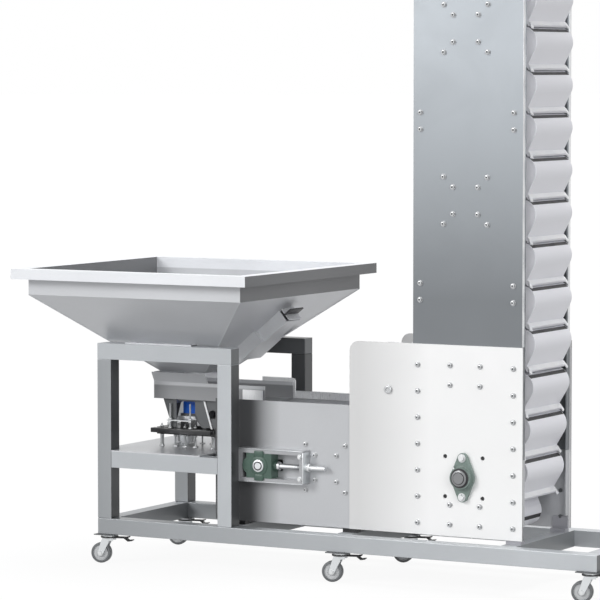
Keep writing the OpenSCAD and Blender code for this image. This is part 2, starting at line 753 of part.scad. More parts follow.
module inner_guide_discs() {
    color("#c3c7c9") place() both_sides() for (c = [[low_bend, bend_r], [high_bend, head_bend_r]]) {
        r = c[1] - chain_h / 2 - seat;
        slab(chain_y, chain_w) difference() {
            dot(c[0][0], c[0][1], r);
            for (a = [30:60:330]) dot(c[0][0] + 0.6 * r * cos(a), c[0][1] + 0.6 * r * sin(a), 0.18 * r);
        }
    }
    color("#c3c7c9") place() both_sides() {
        rod(low_bend[0], low_bend[1], case_y, chain_y - case_y, 16);
        rod(high_bend[0], high_bend[1], case_y, chain_y - case_y, 16);
    }
}
module shafts() {
    long = corner_y - 36;
    color("#b9bcbe") place() {
        rod(tail_x, shaft_z, case_y - take_out - 8, case_w + 2 * take_out + 16, shaft_d / 2);
        rod(corner_x, shaft_z, long, 2 * (mid_y - long), shaft_d / 2);
        rod(corner_x, top_z, long, 2 * (mid_y - long), shaft_d / 2);
        rod(drive_x, top_z, long, far_y - 6 - long, shaft_d / 2);
    }
}

// Bearings
module flange_bearing(x, z) {
    slab(corner_y - 12, 12) translate([x, z]) difference() {
        union() {
            tapered_link(38, 15, 58.5);
            rotate(180) tapered_link(38, 15, 58.5);
        }
        circle(r = shaft_d / 2 + play);
        for (v = [-58.5, 58.5]) translate([0, v]) circle(r = 6);
    }
    slab(corner_y - 28, 16) translate([x, z]) difference() {
        circle(r = 33);
        circle(r = shaft_d / 2 + play);
    }
}
module flange_bearings() {
    color("#6f8079") place() {
        both_sides() {
            flange_bearing(corner_x, shaft_z);
            flange_bearing(corner_x, top_z);
        }
        both_sides() translate([0, corner_t, 0]) flange_bearing(drive_x, top_z);
    }
}
module take_up_frames() {
    color("#a9acae") place() both_sides() slab(case_y - take_out, take_out) difference() {
        bar2d(0, shaft_z - take_z, take_len, 2 * take_z);
        bar2d(take_bar, shaft_z - take_z + take_bar, take_len - 2 * take_bar, 2 * (take_z - take_bar));
    }
}
block_x = 44;
module take_up_bearings() {
    half = take_z - take_bar - seat;
    color("#3f5a4a") place() both_sides() slab(case_y - take_out - 4, take_out + 4 - 1) difference() {
        union() {
            bar2d(tail_x - block_x, shaft_z - half, 2 * block_x, 2 * half);
            dot(tail_x - block_x + 12, shaft_z, 26);
        }
        dot(tail_x, shaft_z, shaft_d / 2 + play);
    }
}
module take_up_screws() {
    y = case_y - take_out / 2;
    color("#b9bcbe") place() both_sides() {
        translate([tail_x + block_x, y, shaft_z]) rotate([0, 90, 0]) cylinder(h = take_len - take_bar - seat - tail_x - block_x, r = 8);
        translate([take_len, y, shaft_z]) rotate([0, 90, 0]) cylinder(h = 66, r = 8);
        translate([take_len, y, shaft_z]) rotate([0, 90, 0]) cylinder(h = 12, r = 14, $fn = 6);
    }
}
module gear_motor() {
    y = case_y + case_w + 40;
    color("#4c6a86") place() {
        difference() {
            box(drive_x - 90, y, top_z - 90, 180, gearbox_w, 180);
            rod(drive_x, top_z, y - 1, gearbox_w + 2, shaft_d / 2 + play);
        }
        translate([drive_x - 90 - motor_len, y + gearbox_w / 2, top_z]) rotate([0, 90, 0]) {
            cylinder(h = motor_len, r = motor_r - 16);
            cylinder(h = 48, r = motor_r - 4);
            translate([0, 0, motor_len - 12]) cylinder(h = 12.5, r = motor_r);
        }
        box(drive_x - 90 - motor_len + 90, y + gearbox_w / 2 - 42, top_z + motor_r - 40, 98, 84, 68);
        slab(case_y + case_w, 40) translate([drive_x, top_z]) difference() {
            square([180, 180], center = true);
            square([156, 156], center = true);
        }
    }
}

// Buckets
module bucket_section(w) {
    r = bucket_round - w;
    centre = [bucket_right - bucket_round, bucket_round - bucket_deep];
    knee = bucket_knee + [w, 0.4 * w];
    d = norm(knee - centre);
    a = atan2(knee[1] - centre[1], knee[0] - centre[0]) + acos(r / d);
    translate(centre) circle(r = r);
    polygon([centre + r * [cos(a), sin(a)], knee, [-bucket_left + w, bucket_top + w],
        [bucket_right - w, bucket_top + w], [bucket_right - w, centre[1]]]);
}
module bucket_face(w) {
    difference() {
        bucket_section(w);
        translate([-100, bucket_top - w]) square([200, 30]);
    }
}
module bucket() {
    end = bucket_len / 2;
    translate([0, end, 0]) rotate([90, 0, 0]) {
        difference() {
            linear_extrude(height = bucket_len) union() {
                bucket_face(0);
                polygon([[-46.5, -53.2], [-61, -64], [-66, -61], [-65, -54], [-47, -41]]);
            }
            translate([0, 0, bucket_t]) linear_extrude(height = bucket_len - 2 * bucket_t) bucket_section(bucket_t);
        }
        for (y = [bucket_len - 1, -end_rise]) translate([0, 0, y]) {
            linear_extrude(height = end_rise + 1) difference() {
                bucket_face(0);
                bucket_face(end_rim);
            }
            cylinder(h = end_rise + 1, r = boss_r);
        }
        for (y = [bucket_len - 1, -pin_len]) translate([0, 0, y]) cylinder(h = pin_len + 1, r = pin_r);
    }
}
module buckets_on(first, last) {
    color("#eceaf2") place() for (b = BUCKETS) if (b[3] >= first && b[3] <= last)
        translate([b[0], mid_y, b[1]]) rotate([0, -b[2], 0]) bucket();
}
module buckets_lower_run() { buckets_on(0, 1); }
module buckets_return_run() { buckets_on(2, 3); }
module buckets_head_lower_run() { buckets_on(4, 5); }
module buckets_head_upper_run() { buckets_on(6, 8); }
module buckets_lift_run() { buckets_on(9, 9); }
module buckets_boot_upper_run() { buckets_on(10, 12); }

base_long_rails();
base_cross_rails();
stand_posts();
stand_top_beams();
stand_shelf_beams();
shelf_plate();
castor_top_plates();
castor_fork_1();
castor_fork_2();
castor_fork_3();
castor_fork_4();
castor_fork_5();
castor_fork_6();
castor_wheel_1();
castor_wheel_2();
castor_wheel_3();
castor_wheel_4();
castor_wheel_5();
castor_wheel_6();
hopper_cone();
hopper_skirt();
gate_guides();
hopper_gate();
feeder_tray();
feeder_brackets();
feeder_springs();
feeder_coil();
feeder_base();
boot_sides();
boot_end();
casing_feet();
lower_corner_plates();
column_sides();
column_spreaders();
upper_corner_plates();
head_sides();
head_end();
discharge_chute();
casing_ties();
chain_guides();
inner_guide_discs();
chain_loops();
chain_wheels();
shafts();
take_up_frames();
take_up_bearings();
take_up_screws();
flange_bearings();
gear_motor();
buckets_lower_run();
buckets_return_run();
buckets_head_lower_run();
buckets_head_upper_run();
buckets_lift_run();
buckets_boot_upper_run();
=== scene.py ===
"""Finishes and fittings of a Z-shaped bucket elevator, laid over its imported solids."""
import json
import math

import bpy
from mathutils import Matrix, Vector


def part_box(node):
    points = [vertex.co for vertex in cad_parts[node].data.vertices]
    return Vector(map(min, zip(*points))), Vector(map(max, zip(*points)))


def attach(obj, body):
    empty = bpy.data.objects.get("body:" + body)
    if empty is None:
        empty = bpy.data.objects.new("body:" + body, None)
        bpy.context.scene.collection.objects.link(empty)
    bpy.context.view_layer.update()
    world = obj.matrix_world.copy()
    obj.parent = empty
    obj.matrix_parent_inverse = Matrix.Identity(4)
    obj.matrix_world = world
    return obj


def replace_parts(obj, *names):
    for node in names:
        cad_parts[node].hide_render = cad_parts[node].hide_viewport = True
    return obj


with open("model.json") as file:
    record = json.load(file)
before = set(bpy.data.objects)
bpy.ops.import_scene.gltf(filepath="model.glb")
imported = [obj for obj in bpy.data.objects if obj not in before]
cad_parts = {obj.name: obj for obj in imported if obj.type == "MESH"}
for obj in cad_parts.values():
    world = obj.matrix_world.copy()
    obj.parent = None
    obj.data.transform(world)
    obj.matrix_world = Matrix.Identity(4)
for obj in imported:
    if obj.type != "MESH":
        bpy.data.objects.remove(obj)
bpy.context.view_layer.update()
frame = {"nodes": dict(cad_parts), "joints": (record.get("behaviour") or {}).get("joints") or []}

bl_info = {
    "name": "Bucket Elevator Dressing",
    "version": (1, 0, 0),
    "blender": (4, 5, 0),
    "location": "3D View > Sidebar > Elevator",
    "description": "Materials, bolts, chain links, bearings and castor details of a bucket elevator",
    "category": "Object",
}

# The front right post of the hopper stand is the corner that every place is measured from
CORNER = Vector((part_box("stand_posts")[1].x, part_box("stand_posts")[0].y, 0.0))
# Middle of the machine's width
MID_Y = 252.5
# Outer face of the front casing side, of the back one and of the front corner plates
CASE_Y = 85.0
CASE_FAR_Y = 420.0
PLATE_Y = 80.0
# Height of the lower shafts and place of the lower corner shaft
SHAFT_Z = 334.0
CORNER_X = 753.0
# Chain pitch, chain radius round a wheel, distance between buckets and the run before the first one
PITCH = 25.4
WHEEL_R = 105.1
BUCKET_PITCH = 127.0
START = 86.0
# Directions, and the four corners of a pattern
FRONT = (0, -1, 0)
BACK = (0, 1, 0)
ALONG = (1, 0, 0)
UP = (0, 0, 1)
SIGNS = (-1, 1)
CORNERS = [(u, v) for u in SIGNS for v in SIGNS]


def at(x, y, z):
    """A place in millimetres from the stand's corner, as metres in the part's frame."""
    return CORNER + Vector((x, y, z)) / 1000


def x_at(x):
    return at(x, 0, 0).x


def mirrored(y):
    """The Y on the far side that mirrors one on the near side."""
    return 2 * MID_Y - y


def span(node):
    """Lowest and highest corner of a node, in millimetres from the stand's corner."""
    low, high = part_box(node)
    return (low - CORNER) * 1000, (high - CORNER) * 1000


# The shafts' radius lies between the ends of their box and their middles
SHAFT_LOW, SHAFT_HIGH = span("shafts")
TAIL_X = SHAFT_LOW.x + 15
DRIVE_X = SHAFT_HIGH.x - 15
TOP_Z = SHAFT_HIGH.z - 15


def length_setting(name, description, value):
    return bpy.props.FloatProperty(name=name, description=description, default=value, unit="LENGTH")


def colour_setting(name, description, value):
    return bpy.props.FloatVectorProperty(name=name, description=description, default=value, size=3,
                                         subtype="COLOR", min=0.0, max=1.0)


class ElevatorSizes(bpy.types.PropertyGroup):
    """Sizes of the fittings."""
    bolt_head: length_setting("Bolt Head", "Radius of a casing bolt's head", 0.0066)
    bolt_washer: length_setting("Washer", "Radius of a casing bolt's washer", 0.0088)
    edge_round: length_setting("Tube Edge", "Radius of the frame tube's corners", 0.0022)
    link_plate: length_setting("Link Plate", "Thickness of a chain link plate", 0.0016)
    lip_width: length_setting("Bucket Lip", "Width of the pale lip along a bucket", 0.0145)


class ElevatorColours(bpy.types.PropertyGroup):
    """Colours of the finishes."""
    tube: colour_setting("Frame Tube", "Satin stainless tube", (0.46, 0.48, 0.50))
    sheet: colour_setting("Sheet", "Brushed stainless sheet", (0.58, 0.59, 0.61))
    # A darkened tone; the column's fade paints a reflection that grows lighter towards the top
    column: colour_setting("Column", "Brushed stainless column plates", (0.1806, 0.1935, 0.2064))
    corner: colour_setting("Corner Plate", "Pale stainless corner plates", (0.63, 0.63, 0.63))
    bucket: colour_setting("Bucket", "Moulded bucket body", (0.84, 0.85, 0.98))
    # Painted light: a lighter copy of the bucket colour for the end plates and lips
    bucket_lit_end: colour_setting("Bucket End", "Moulded bucket end plate", (0.96, 0.97, 1.0))
    coil: colour_setting("Coil", "Coil of the feeder", (0.02, 0.14, 0.62))
    bearing: colour_setting("Bearing", "Painted cast bearing", (0.17, 0.22, 0.20))
    take_up: colour_setting("Take-up", "Painted take-up block", (0.055, 0.10, 0.078))
    motor: colour_setting("Motor", "Motor enamel", (0.10, 0.19, 0.30))
    tyre: colour_setting("Tyre", "Castor tyre", (0.132, 0.138, 0.144))


# Shaping

def deselect():
    """Leaves edit mode and selects nothing."""
    if bpy.context.object and bpy.context.object.mode != "OBJECT":
        bpy.ops.object.mode_set(mode="OBJECT")
    bpy.ops.object.select_all(action="DESELECT")


def take(piece):
    """Selects one piece alone."""
    deselect()
    piece.select_set(True)
    bpy.context.view_layer.objects.active = piece


def adopt(name):
    """Names the new primitive and puts its place into its mesh."""
    piece = bpy.context.object
    piece.name = piece.data.name = name
    bpy.ops.object.transform_apply(location=True, rotation=True, scale=True)
    return piece


def drum(name, middle, along, radius, depth, sides=24, top=None):
    """A cylinder about a middle in metres, or a cone where top is given. Sizes are in millimetres."""
    deselect()
    turn = Vector(along).to_track_quat("Z", "Y").to_euler()
    shape = {"vertices": sides, "depth": depth / 1000, "location": middle, "rotation": turn}
    if top is None:
        bpy.ops.mesh.primitive_cylinder_add(radius=radius / 1000, **shape)
    else:
        bpy.ops.mesh.primitive_cone_add(radius1=radius / 1000, radius2=top / 1000, **shape)
    return adopt(name)


def front_drum(name, out, radius, depth, sides=24):
    """A drum that looks to -Y, with its middle so many millimetres in front of the origin."""
    return drum(name, Vector((0, -out / 1000, 0)), FRONT, radius, depth, sides)


def bar(name, size, place=(0, 0, 0), turn=(0, 0, 0)):
    """A block of a size in metres about a place, turned about its middle."""
    deselect()
    bpy.ops.mesh.primitive_cube_add(size=1, location=place, rotation=turn)
    bpy.context.object.scale = size
    return adopt(name)


def block(name, low, high):
    """A block between two corners, given in millimetres from the stand's corner."""
    a, b = at(*low), at(*high)
    return bar(name, b - a, (a + b) / 2)


def pick(piece, test):
    """Selects the faces whose middle and normal pass the test, and stays in edit mode."""
    take(piece)
    bpy.ops.object.mode_set(mode="EDIT")
    bpy.ops.mesh.select_mode(type="FACE")
    bpy.ops.mesh.select_all(action="DESELECT")
    bpy.ops.object.mode_set(mode="OBJECT")
    for face in piece.data.polygons:
        face.select = bool(test(face.center, face.normal))
    bpy.ops.object.mode_set(mode="EDIT")


def facing(direction, share=0.98):
    """A test for faces that look along a direction."""
    way = Vector(direction).normalized()
    return lambda centre, normal: normal.dot(way) > share


def middle_facing(direction):
    """A test for the face round the Y axis that looks along a direction."""
    looks = facing(direction)
    return lambda centre, normal: looks(centre, normal) and math.hypot(centre.x, centre.z) < 0.001


def sink(piece, test, border, depth, direction):
    """Insets the chosen faces and pushes them along a direction. Sizes are in millimetres."""
    pick(piece, test)
    bpy.ops.mesh.inset(thickness=border / 1000)
    way = Vector(direction).normalized() * depth / 1000
    bpy.ops.mesh.extrude_region_move(TRANSFORM_OT_translate={"value": way})
    bpy.ops.object.mode_set(mode="OBJECT")


def round_edge(piece, x, z, radius):
    """Rounds the edge along Y that lies near a place in X and Z. Sizes are in millimetres."""
    pick(piece, lambda centre, normal: False)
    bpy.ops.mesh.select_mode(type="EDGE")
    bpy.ops.object.mode_set(mode="OBJECT")
    foot = at(x, 0, z)
    near, straight = 0.006, 1e-6
    for edge in piece.data.edges:
        a, b = (piece.data.vertices[i].co for i in edge.vertices)
        level = abs(a.x - b.x) < straight and abs(a.z - b.z) < straight
        edge.select = level and abs(a.x - foot.x) < near and abs(a.z - foot.z) < near
    bpy.ops.object.mode_set(mode="EDIT")
    bpy.ops.mesh.bevel(offset=radius / 1000, segments=4)
    bpy.ops.object.mode_set(mode="OBJECT")


def apply_all(piece):
    take(piece)
    for modifier in list(piece.modifiers):
        bpy.ops.object.modifier_apply(modifier=modifier.name)


def soften(piece, width, segments=2, angle=32):
    """Rounds the sharp edges. The width is in millimetres."""
    modifier = piece.modifiers.new("edges", "BEVEL")
    modifier.width = width / 1000
    modifier.segments = segments
    modifier.limit_method = "ANGLE"
    modifier.angle_limit = math.radians(angle)
    apply_all(piece)
    return piece


def repeat(piece, count, step):
    """Copies the piece in a row by an array."""
    modifier = piece.modifiers.new("row", "ARRAY")
    modifier.count = count
    modifier.use_relative_offset = False
    modifier.use_constant_offset = True
    modifier.constant_offset_displace = step
    apply_all(piece)
    return piece


def lay_along(piece, way, foot, lift):
    """Turns a piece made along X to a way in the XZ plane, and sets it on a foot, lifted off it."""
    way = Vector(way).normalized()
    out = way.cross(Vector(BACK))
    basis = Matrix((way, BACK, out)).transposed().to_4x4()
    piece.data.transform(Matrix.Translation(Vector(foot) + out * lift) @ basis)


def join(name, pieces):
    """Joins pieces into one mesh."""
    take(pieces[0])
    for piece in pieces:
        piece.select_set(True)
    if len(pieces) > 1:
        bpy.ops.object.join()
    whole = bpy.context.object
    whole.name = whole.data.name = name
    return whole


def set_out(pattern, name, places):
    """Copies a pattern made at the origin to each place, and joins the copies."""
    copies = []
    for place in places:
        one = pattern.copy()
        one.data = pattern.data.copy()
        one.data.transform(place)
        bpy.context.scene.collection.objects.link(one)
        copies.append(one)
    bpy.data.objects.remove(pattern)
    return join(name, copies)


def settle(piece, finish, body="frame", smooth=38):
    """Gives a piece its finish, its smoothing and the body that it rides on."""
    take(piece)
    bpy.ops.object.shade_smooth_by_angle(angle=math.radians(smooth))
    piece.data.materials.clear()
    piece.data.materials.append(bpy.data.materials[finish])
    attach(piece, body)
    return piece


def fit(parts, name, places, finish, smooth=38):
    """Joins parts into a pattern at the origin, sets it out and settles it."""
    return settle(set_out(join("pattern", parts), name, places), finish, smooth=smooth)


def facing_out(places, back=False):
    """Turns places on a casing side into matrices; what looks to -Y in front looks to +Y at the back."""
    turn = Matrix.Rotation(math.pi, 4, "Z") if back else Matrix.Identity(4)
    return [Matrix.Translation(p) @ turn for p in places]


def both_sides(spots, y, inwards=False):
    """Matrices for spots in X and Z on the front face at y and on the back face that mirrors it."""
    front = [at(x, y, z) for x, z in spots]
    back = [at(x, mirrored(y), z) for x, z in spots]
    return facing_out(front, inwards) + facing_out(back, not inwards)


# Shader groups

class SharedGroup:
    """A shader group under construction, with a vector, named inputs and number outputs."""

    def __init__(self, name, outputs, **inputs):
        self.tree = bpy.data.node_groups.new(name, "ShaderNodeTree")
        for label, value in {"Vector": (0, 0, 0), **inputs}.items():
            kind = "NodeSocketVector" if isinstance(value, tuple) else "NodeSocketFloat"
            socket = self.tree.interface.new_socket(name=label.replace("_", " "), in_out="INPUT",
                                                    socket_type=kind)
            socket.default_value = value
        for label in outputs:
            self.tree.interface.new_socket(name=label, in_out="OUTPUT", socket_type="NodeSocketFloat")
        self.start = self.tree.nodes.new("NodeGroupInput").outputs
        self.end = self.tree.nodes.new("NodeGroupOutput").inputs

    def node(self, kind, wires, **values):
        """A node with some inputs fed by sockets and others set to values."""
        made = self.tree.nodes.new(kind)
        for label, source in wires.items():
            self.tree.links.new(source, made.inputs[label])
        for label, value in values.items():
            made.inputs[label].default_value = value
        return made

    def noise(self, vector, scale="Scale", **values):
        wires = {"Vector": vector, "Scale": self.start[scale]}
        return self.node("ShaderNodeTexNoise", wires, **values).outputs[0]

    def blend(self, a, b, factor):
        return self.node("ShaderNodeMix", {"A": a, "B": b}, Factor=factor).outputs["Result"]

    def put_out(self, **sockets):
        for label, socket in sockets.items():
            self.tree.links.new(socket, self.end[label])


def brushed_grain():
    """Fine lines drawn out along one direction, with a slow change of tone."""
    group = SharedGroup("Brushed Grain", ("Tone", "Height"), Stretch=(1, 1, 1), Scale=40.0, Cloud_Scale=3.0)
    drawn = group.node("ShaderNodeVectorMath", {0: group.start["Vector"], 1: group.start["Stretch"]})
    drawn.operation = "MULTIPLY"
    lines = group.noise(drawn.outputs[0], Detail=4.0)
    cloud = group.noise(group.start["Vector"], "Cloud Scale", Detail=2.0)
    group.put_out(Tone=group.blend(lines, cloud, 0.4), Height=lines)


def cast_skin():
    """The pebbled skin of painted iron, with darker hollows."""
    group = SharedGroup("Cast Skin", ("Tone", "Height"), Scale=220.0)
    vector = group.start["Vector"]
    grain = group.noise(vector, Detail=5.0, Roughness=0.7)
    pits = group.node("ShaderNodeTexVoronoi", {"Vector": vector, "Scale": group.start["Scale"]})
    group.put_out(Tone=grain, Height=group.blend(grain, pits.outputs["Distance"], 0.5))


def handling_marks():
    """Soft patches where a surface was wiped, touched or dusted."""
    group = SharedGroup("Handling Marks", ("Mask",), Scale=6.0, Low=0.45, High=0.7)
    noise = group.noise(group.start["Vector"], Detail=6.0, Distortion=0.6)
    reach = group.node("ShaderNodeMapRange", {"Value": noise, "From Min": group.start["Low"],
                                              "From Max": group.start["High"]})
    group.put_out(Mask=reach.outputs["Result"])


def tinted(colour, factor):
    """A colour made lighter or darker, with its alpha."""
    return tuple(min(1.0, c * factor) for c in tuple(colour)[:3]) + (1.0,)


class Finish:
    """One material under construction: a Principled surface fed by the shared groups."""

    def __init__(self, name, metallic, rough, coat=0.0):
        self.material = bpy.data.materials.new(name)
        self.material.use_nodes = True
        self.nodes = self.material.node_tree.nodes
        self.links = self.material.node_tree.links
        self.shader = self.nodes["Principled BSDF"]
        self.shader.inputs["Metallic"].default_value = metallic
        self.shader.inputs["Roughness"].default_value = rough
        self.shader.inputs["Coat Weight"].default_value = coat
        self.place = self.nodes.new("ShaderNodeTexCoord").outputs["Object"]

    def group(self, name, **values):
        node = self.nodes.new("ShaderNodeGroup")
        node.node_tree = bpy.data.node_groups[name]
        for label, value in values.items():
            node.inputs[label].default_value = value
        self.links.new(self.place, node.inputs["Vector"])
        return node.outputs

    def mix(self, factor, a, b):
        """A colour between a and b; each is a colour or a socket."""
        node = self.nodes.new("ShaderNodeMix")
        node.data_type = "RGBA"
        self.links.new(factor, node.inputs[0])
        for socket, value in ((node.inputs[6], a), (node.inputs[7], b)):
            if isinstance(value, tuple):
                socket.default_value = value
            else:
                self.links.new(value, socket)
        return node.outputs[2]

    def shades(self, factor, colour, tone, spread):
        """A colour at a tone, made a little darker and lighter by a pattern."""
        return self.mix(factor, tinted(colour, tone * (1 - spread)), tinted(colour, tone * (1 + spread)))

    def remap(self, value, low, high, to_low=0.0, to_high=1.0):
        node = self.nodes.new("ShaderNodeMapRange")
        self.links.new(value, node.inputs["Value"])
        for label, number in (("From Min", low), ("From Max", high), ("To Min", to_low), ("To Max", to_high)):
            node.inputs[label].default_value = number
        return node.outputs["Result"]

    def math(self, operation, *sockets):
        node = self.nodes.new("ShaderNodeMath")
        node.operation = operation
        for index, socket in enumerate(sockets):
            self.links.new(socket, node.inputs[index])
        return node.outputs[0]

    def part(self, vector, name):
        node = self.nodes.new("ShaderNodeSeparateXYZ")
        self.links.new(vector, node.inputs[0])
        return node.outputs[name]

    def axis(self, name):
        return self.part(self.place, name)

    def normal(self, name):
        """One part of the way a face looks, without the bump."""
        return self.part(self.nodes.new("ShaderNodeNewGeometry").outputs["Normal"], name)

    def surface(self, tone, rough, height, strength, distance):
        """Feeds the shader's colour, roughness and normal."""
        bump = self.nodes.new("ShaderNodeBump")
        bump.inputs["Strength"].default_value = strength
        bump.inputs["Distance"].default_value = distance
        self.links.new(height, bump.inputs["Height"])
        for socket, label in ((tone, "Base Color"), (rough, "Roughness"), (bump.outputs[0], "Normal")):
            self.links.new(socket, self.shader.inputs[label])


def brushed_finish(name, colour, stretch, metallic=0.3, rough=0.36, spread=0.1, fade=None, marks=0.12,
                   side=None, shade_zone=None):
    """Brushed stainless: drawn lines and wiped patches.

    A fade is a slow change of tone along an axis: painted light and shade on every finish but the feeder
    base, where it is a paint line.
    A side is painted shade: the darker tone of the faces that look to +X, away from the light. A shade_zone
    is a tone of painted shade and the ranges over which it comes in along X and Y.
    """
    made = Finish(name, metallic, rough)
    grain = made.group("Brushed Grain", Stretch=stretch, Scale=60.0)
    lines = grain["Tone"]
    wiped = made.group("Handling Marks", Scale=3.5)["Mask"]
    tone = made.shades(lines, colour, 1, spread)
    # Painted light and shade along an axis; on the feeder base a paint line
    if fade:
        axis, start, end, factor = fade
        faded = made.shades(lines, colour, factor, spread)
        tone = made.mix(made.remap(made.axis(axis), start, end), tone, faded)
    tone = made.mix(made.remap(wiped, 0, 1, 0, marks), tone, tinted(colour, 0.7))
    # Painted shade over ranges in X and Y
    if shade_zone:
        factor, *ranges = shade_zone
        masks = [made.remap(made.axis(name), *reach) for name, reach in zip("XY", ranges)]
        tone = made.mix(made.math("MULTIPLY", *masks), tone, tinted(colour, factor))
    # Painted shade on the faces that look to +X
    if side:
        turned = made.shades(lines, colour, side, spread)
        tone = made.mix(made.remap(made.normal("X"), 0.72, 0.97), tone, turned)
    made.surface(tone, made.remap(lines, 0.3, 0.7, rough - 0.06, rough + 0.08), grain["Height"], 0.18, 0.0004)


def enamel_finish(name, colour, rough=0.35, skin=0.25, scale=220.0, coat=0.0):
    """Paint on cast or pressed metal, and rubber: a cast skin, a little worn."""
    made = Finish(name, 0.0, rough, coat)
    cast = made.group("Cast Skin", Scale=scale)
    worn = made.group("Handling Marks", Scale=30.0, Low=0.5, High=0.72)["Mask"]
    tone = made.mix(cast["Tone"], tinted(colour, 0.75), tinted(colour, 1.3))
    tone = made.mix(made.remap(worn, 0, 1, 0, 0.3), tone, tinted(colour, 1.7))
    made.surface(tone, made.remap(worn, 0, 1, rough - 0.05, rough + 0.2), cast["Height"], skin, 0.0006)


def moulded_finish(name, colour, rough=0.42, ends=None, above=None, shade_under=None):
    """Moulded plastic with a faint flow pattern.

    Ends gives another colour beyond a distance from the middle, painted light on the bucket ends, above
    another one below a height, and shade_under a tone of painted shade for what looks down.
    """
    made = Finish(name, 0.0, rough)
    flow = made.group("Handling Marks", Scale=9.0, Low=0.35, High=0.75)["Mask"]
    tone = made.mix(flow, tinted(colour, 0.9), tinted(colour, 1.05))
    sharp = 0.0005
    # Painted shade on the faces that look down
    if shade_under:
        tone = made.mix(made.remap(made.normal("Z"), 0.3, -0.5), tone, tinted(colour, shade_under))
    # Painted light: the ends take a lighter copy of the colour
    if ends:
        lit_end_colour, reach = ends
        out = made.math("ABSOLUTE", made.axis("Y"))
        tone = made.mix(made.remap(out, reach - sharp, reach + sharp), tone, tinted(lit_end_colour, 1.0))
    if above:
        low_colour, height = above
        over = made.remap(made.axis("Z"), height - sharp, height + sharp)
        tone = made.mix(over, tinted(low_colour, 1.0), tone)
    skin = made.group("Cast Skin", Scale=600.0)["Height"]
    made.surface(tone, made.remap(flow, 0, 1, rough - 0.06, rough + 0.1), skin, 0.05, 0.0003)


# Which nodes wear each finish
WEARERS = {
    "rail_x": "base_long_rails",
    "tube_y": "base_cross_rails column_spreaders casing_ties",
    "tube_z": "stand_posts",
    "tube_x": "stand_top_beams stand_shelf_beams",
    "sheet_bright": "shelf_plate hopper_gate",
    "dark_zinc_and_shade": "castor_top_plates",
    "rim_sheet": "hopper_skirt",
    "tray_sheet": "feeder_tray",
    "dark_steel": "feeder_brackets feeder_springs",
    "coil_plastic": "feeder_coil",
    "feeder_steel": "feeder_base",
    "boot_sheet": "boot_sides",
    "foot_shadow_sheet": "casing_feet",
    "corner_sheet": "lower_corner_plates upper_corner_plates",
    "column_sheet": "column_sides",
    "head_sheet": "head_sides",
    "white_plastic": "chain_guides inner_guide_discs",
    "chain_steel": "chain_loops chain_wheels",
    "shaft_steel": "shafts",
    "channel_sheet": "take_up_frames",
    "green_enamel": "take_up_bearings",
    "bright_steel": "take_up_screws",
    "bearing_enamel": "flange_bearings",
    "motor_enamel": "gear_motor",
    "hopper_sheet": "hopper_cone gate_guides boot_end head_end discharge_chute",
}
NODE_FINISH = {node: finish for finish, nodes in WEARERS.items() for node in nodes.split()}

# Nodes of square tube, whose edges are rounded
TUBE_NODES = ("base_long_rails", "base_cross_rails", "stand_posts", "stand_top_beams", "stand_shelf_beams")


def lines_along(axis, count=20):
    """How far the brushed lines are drawn out along an axis."""
    return tuple(1 if name == axis else count for name in "XYZ")


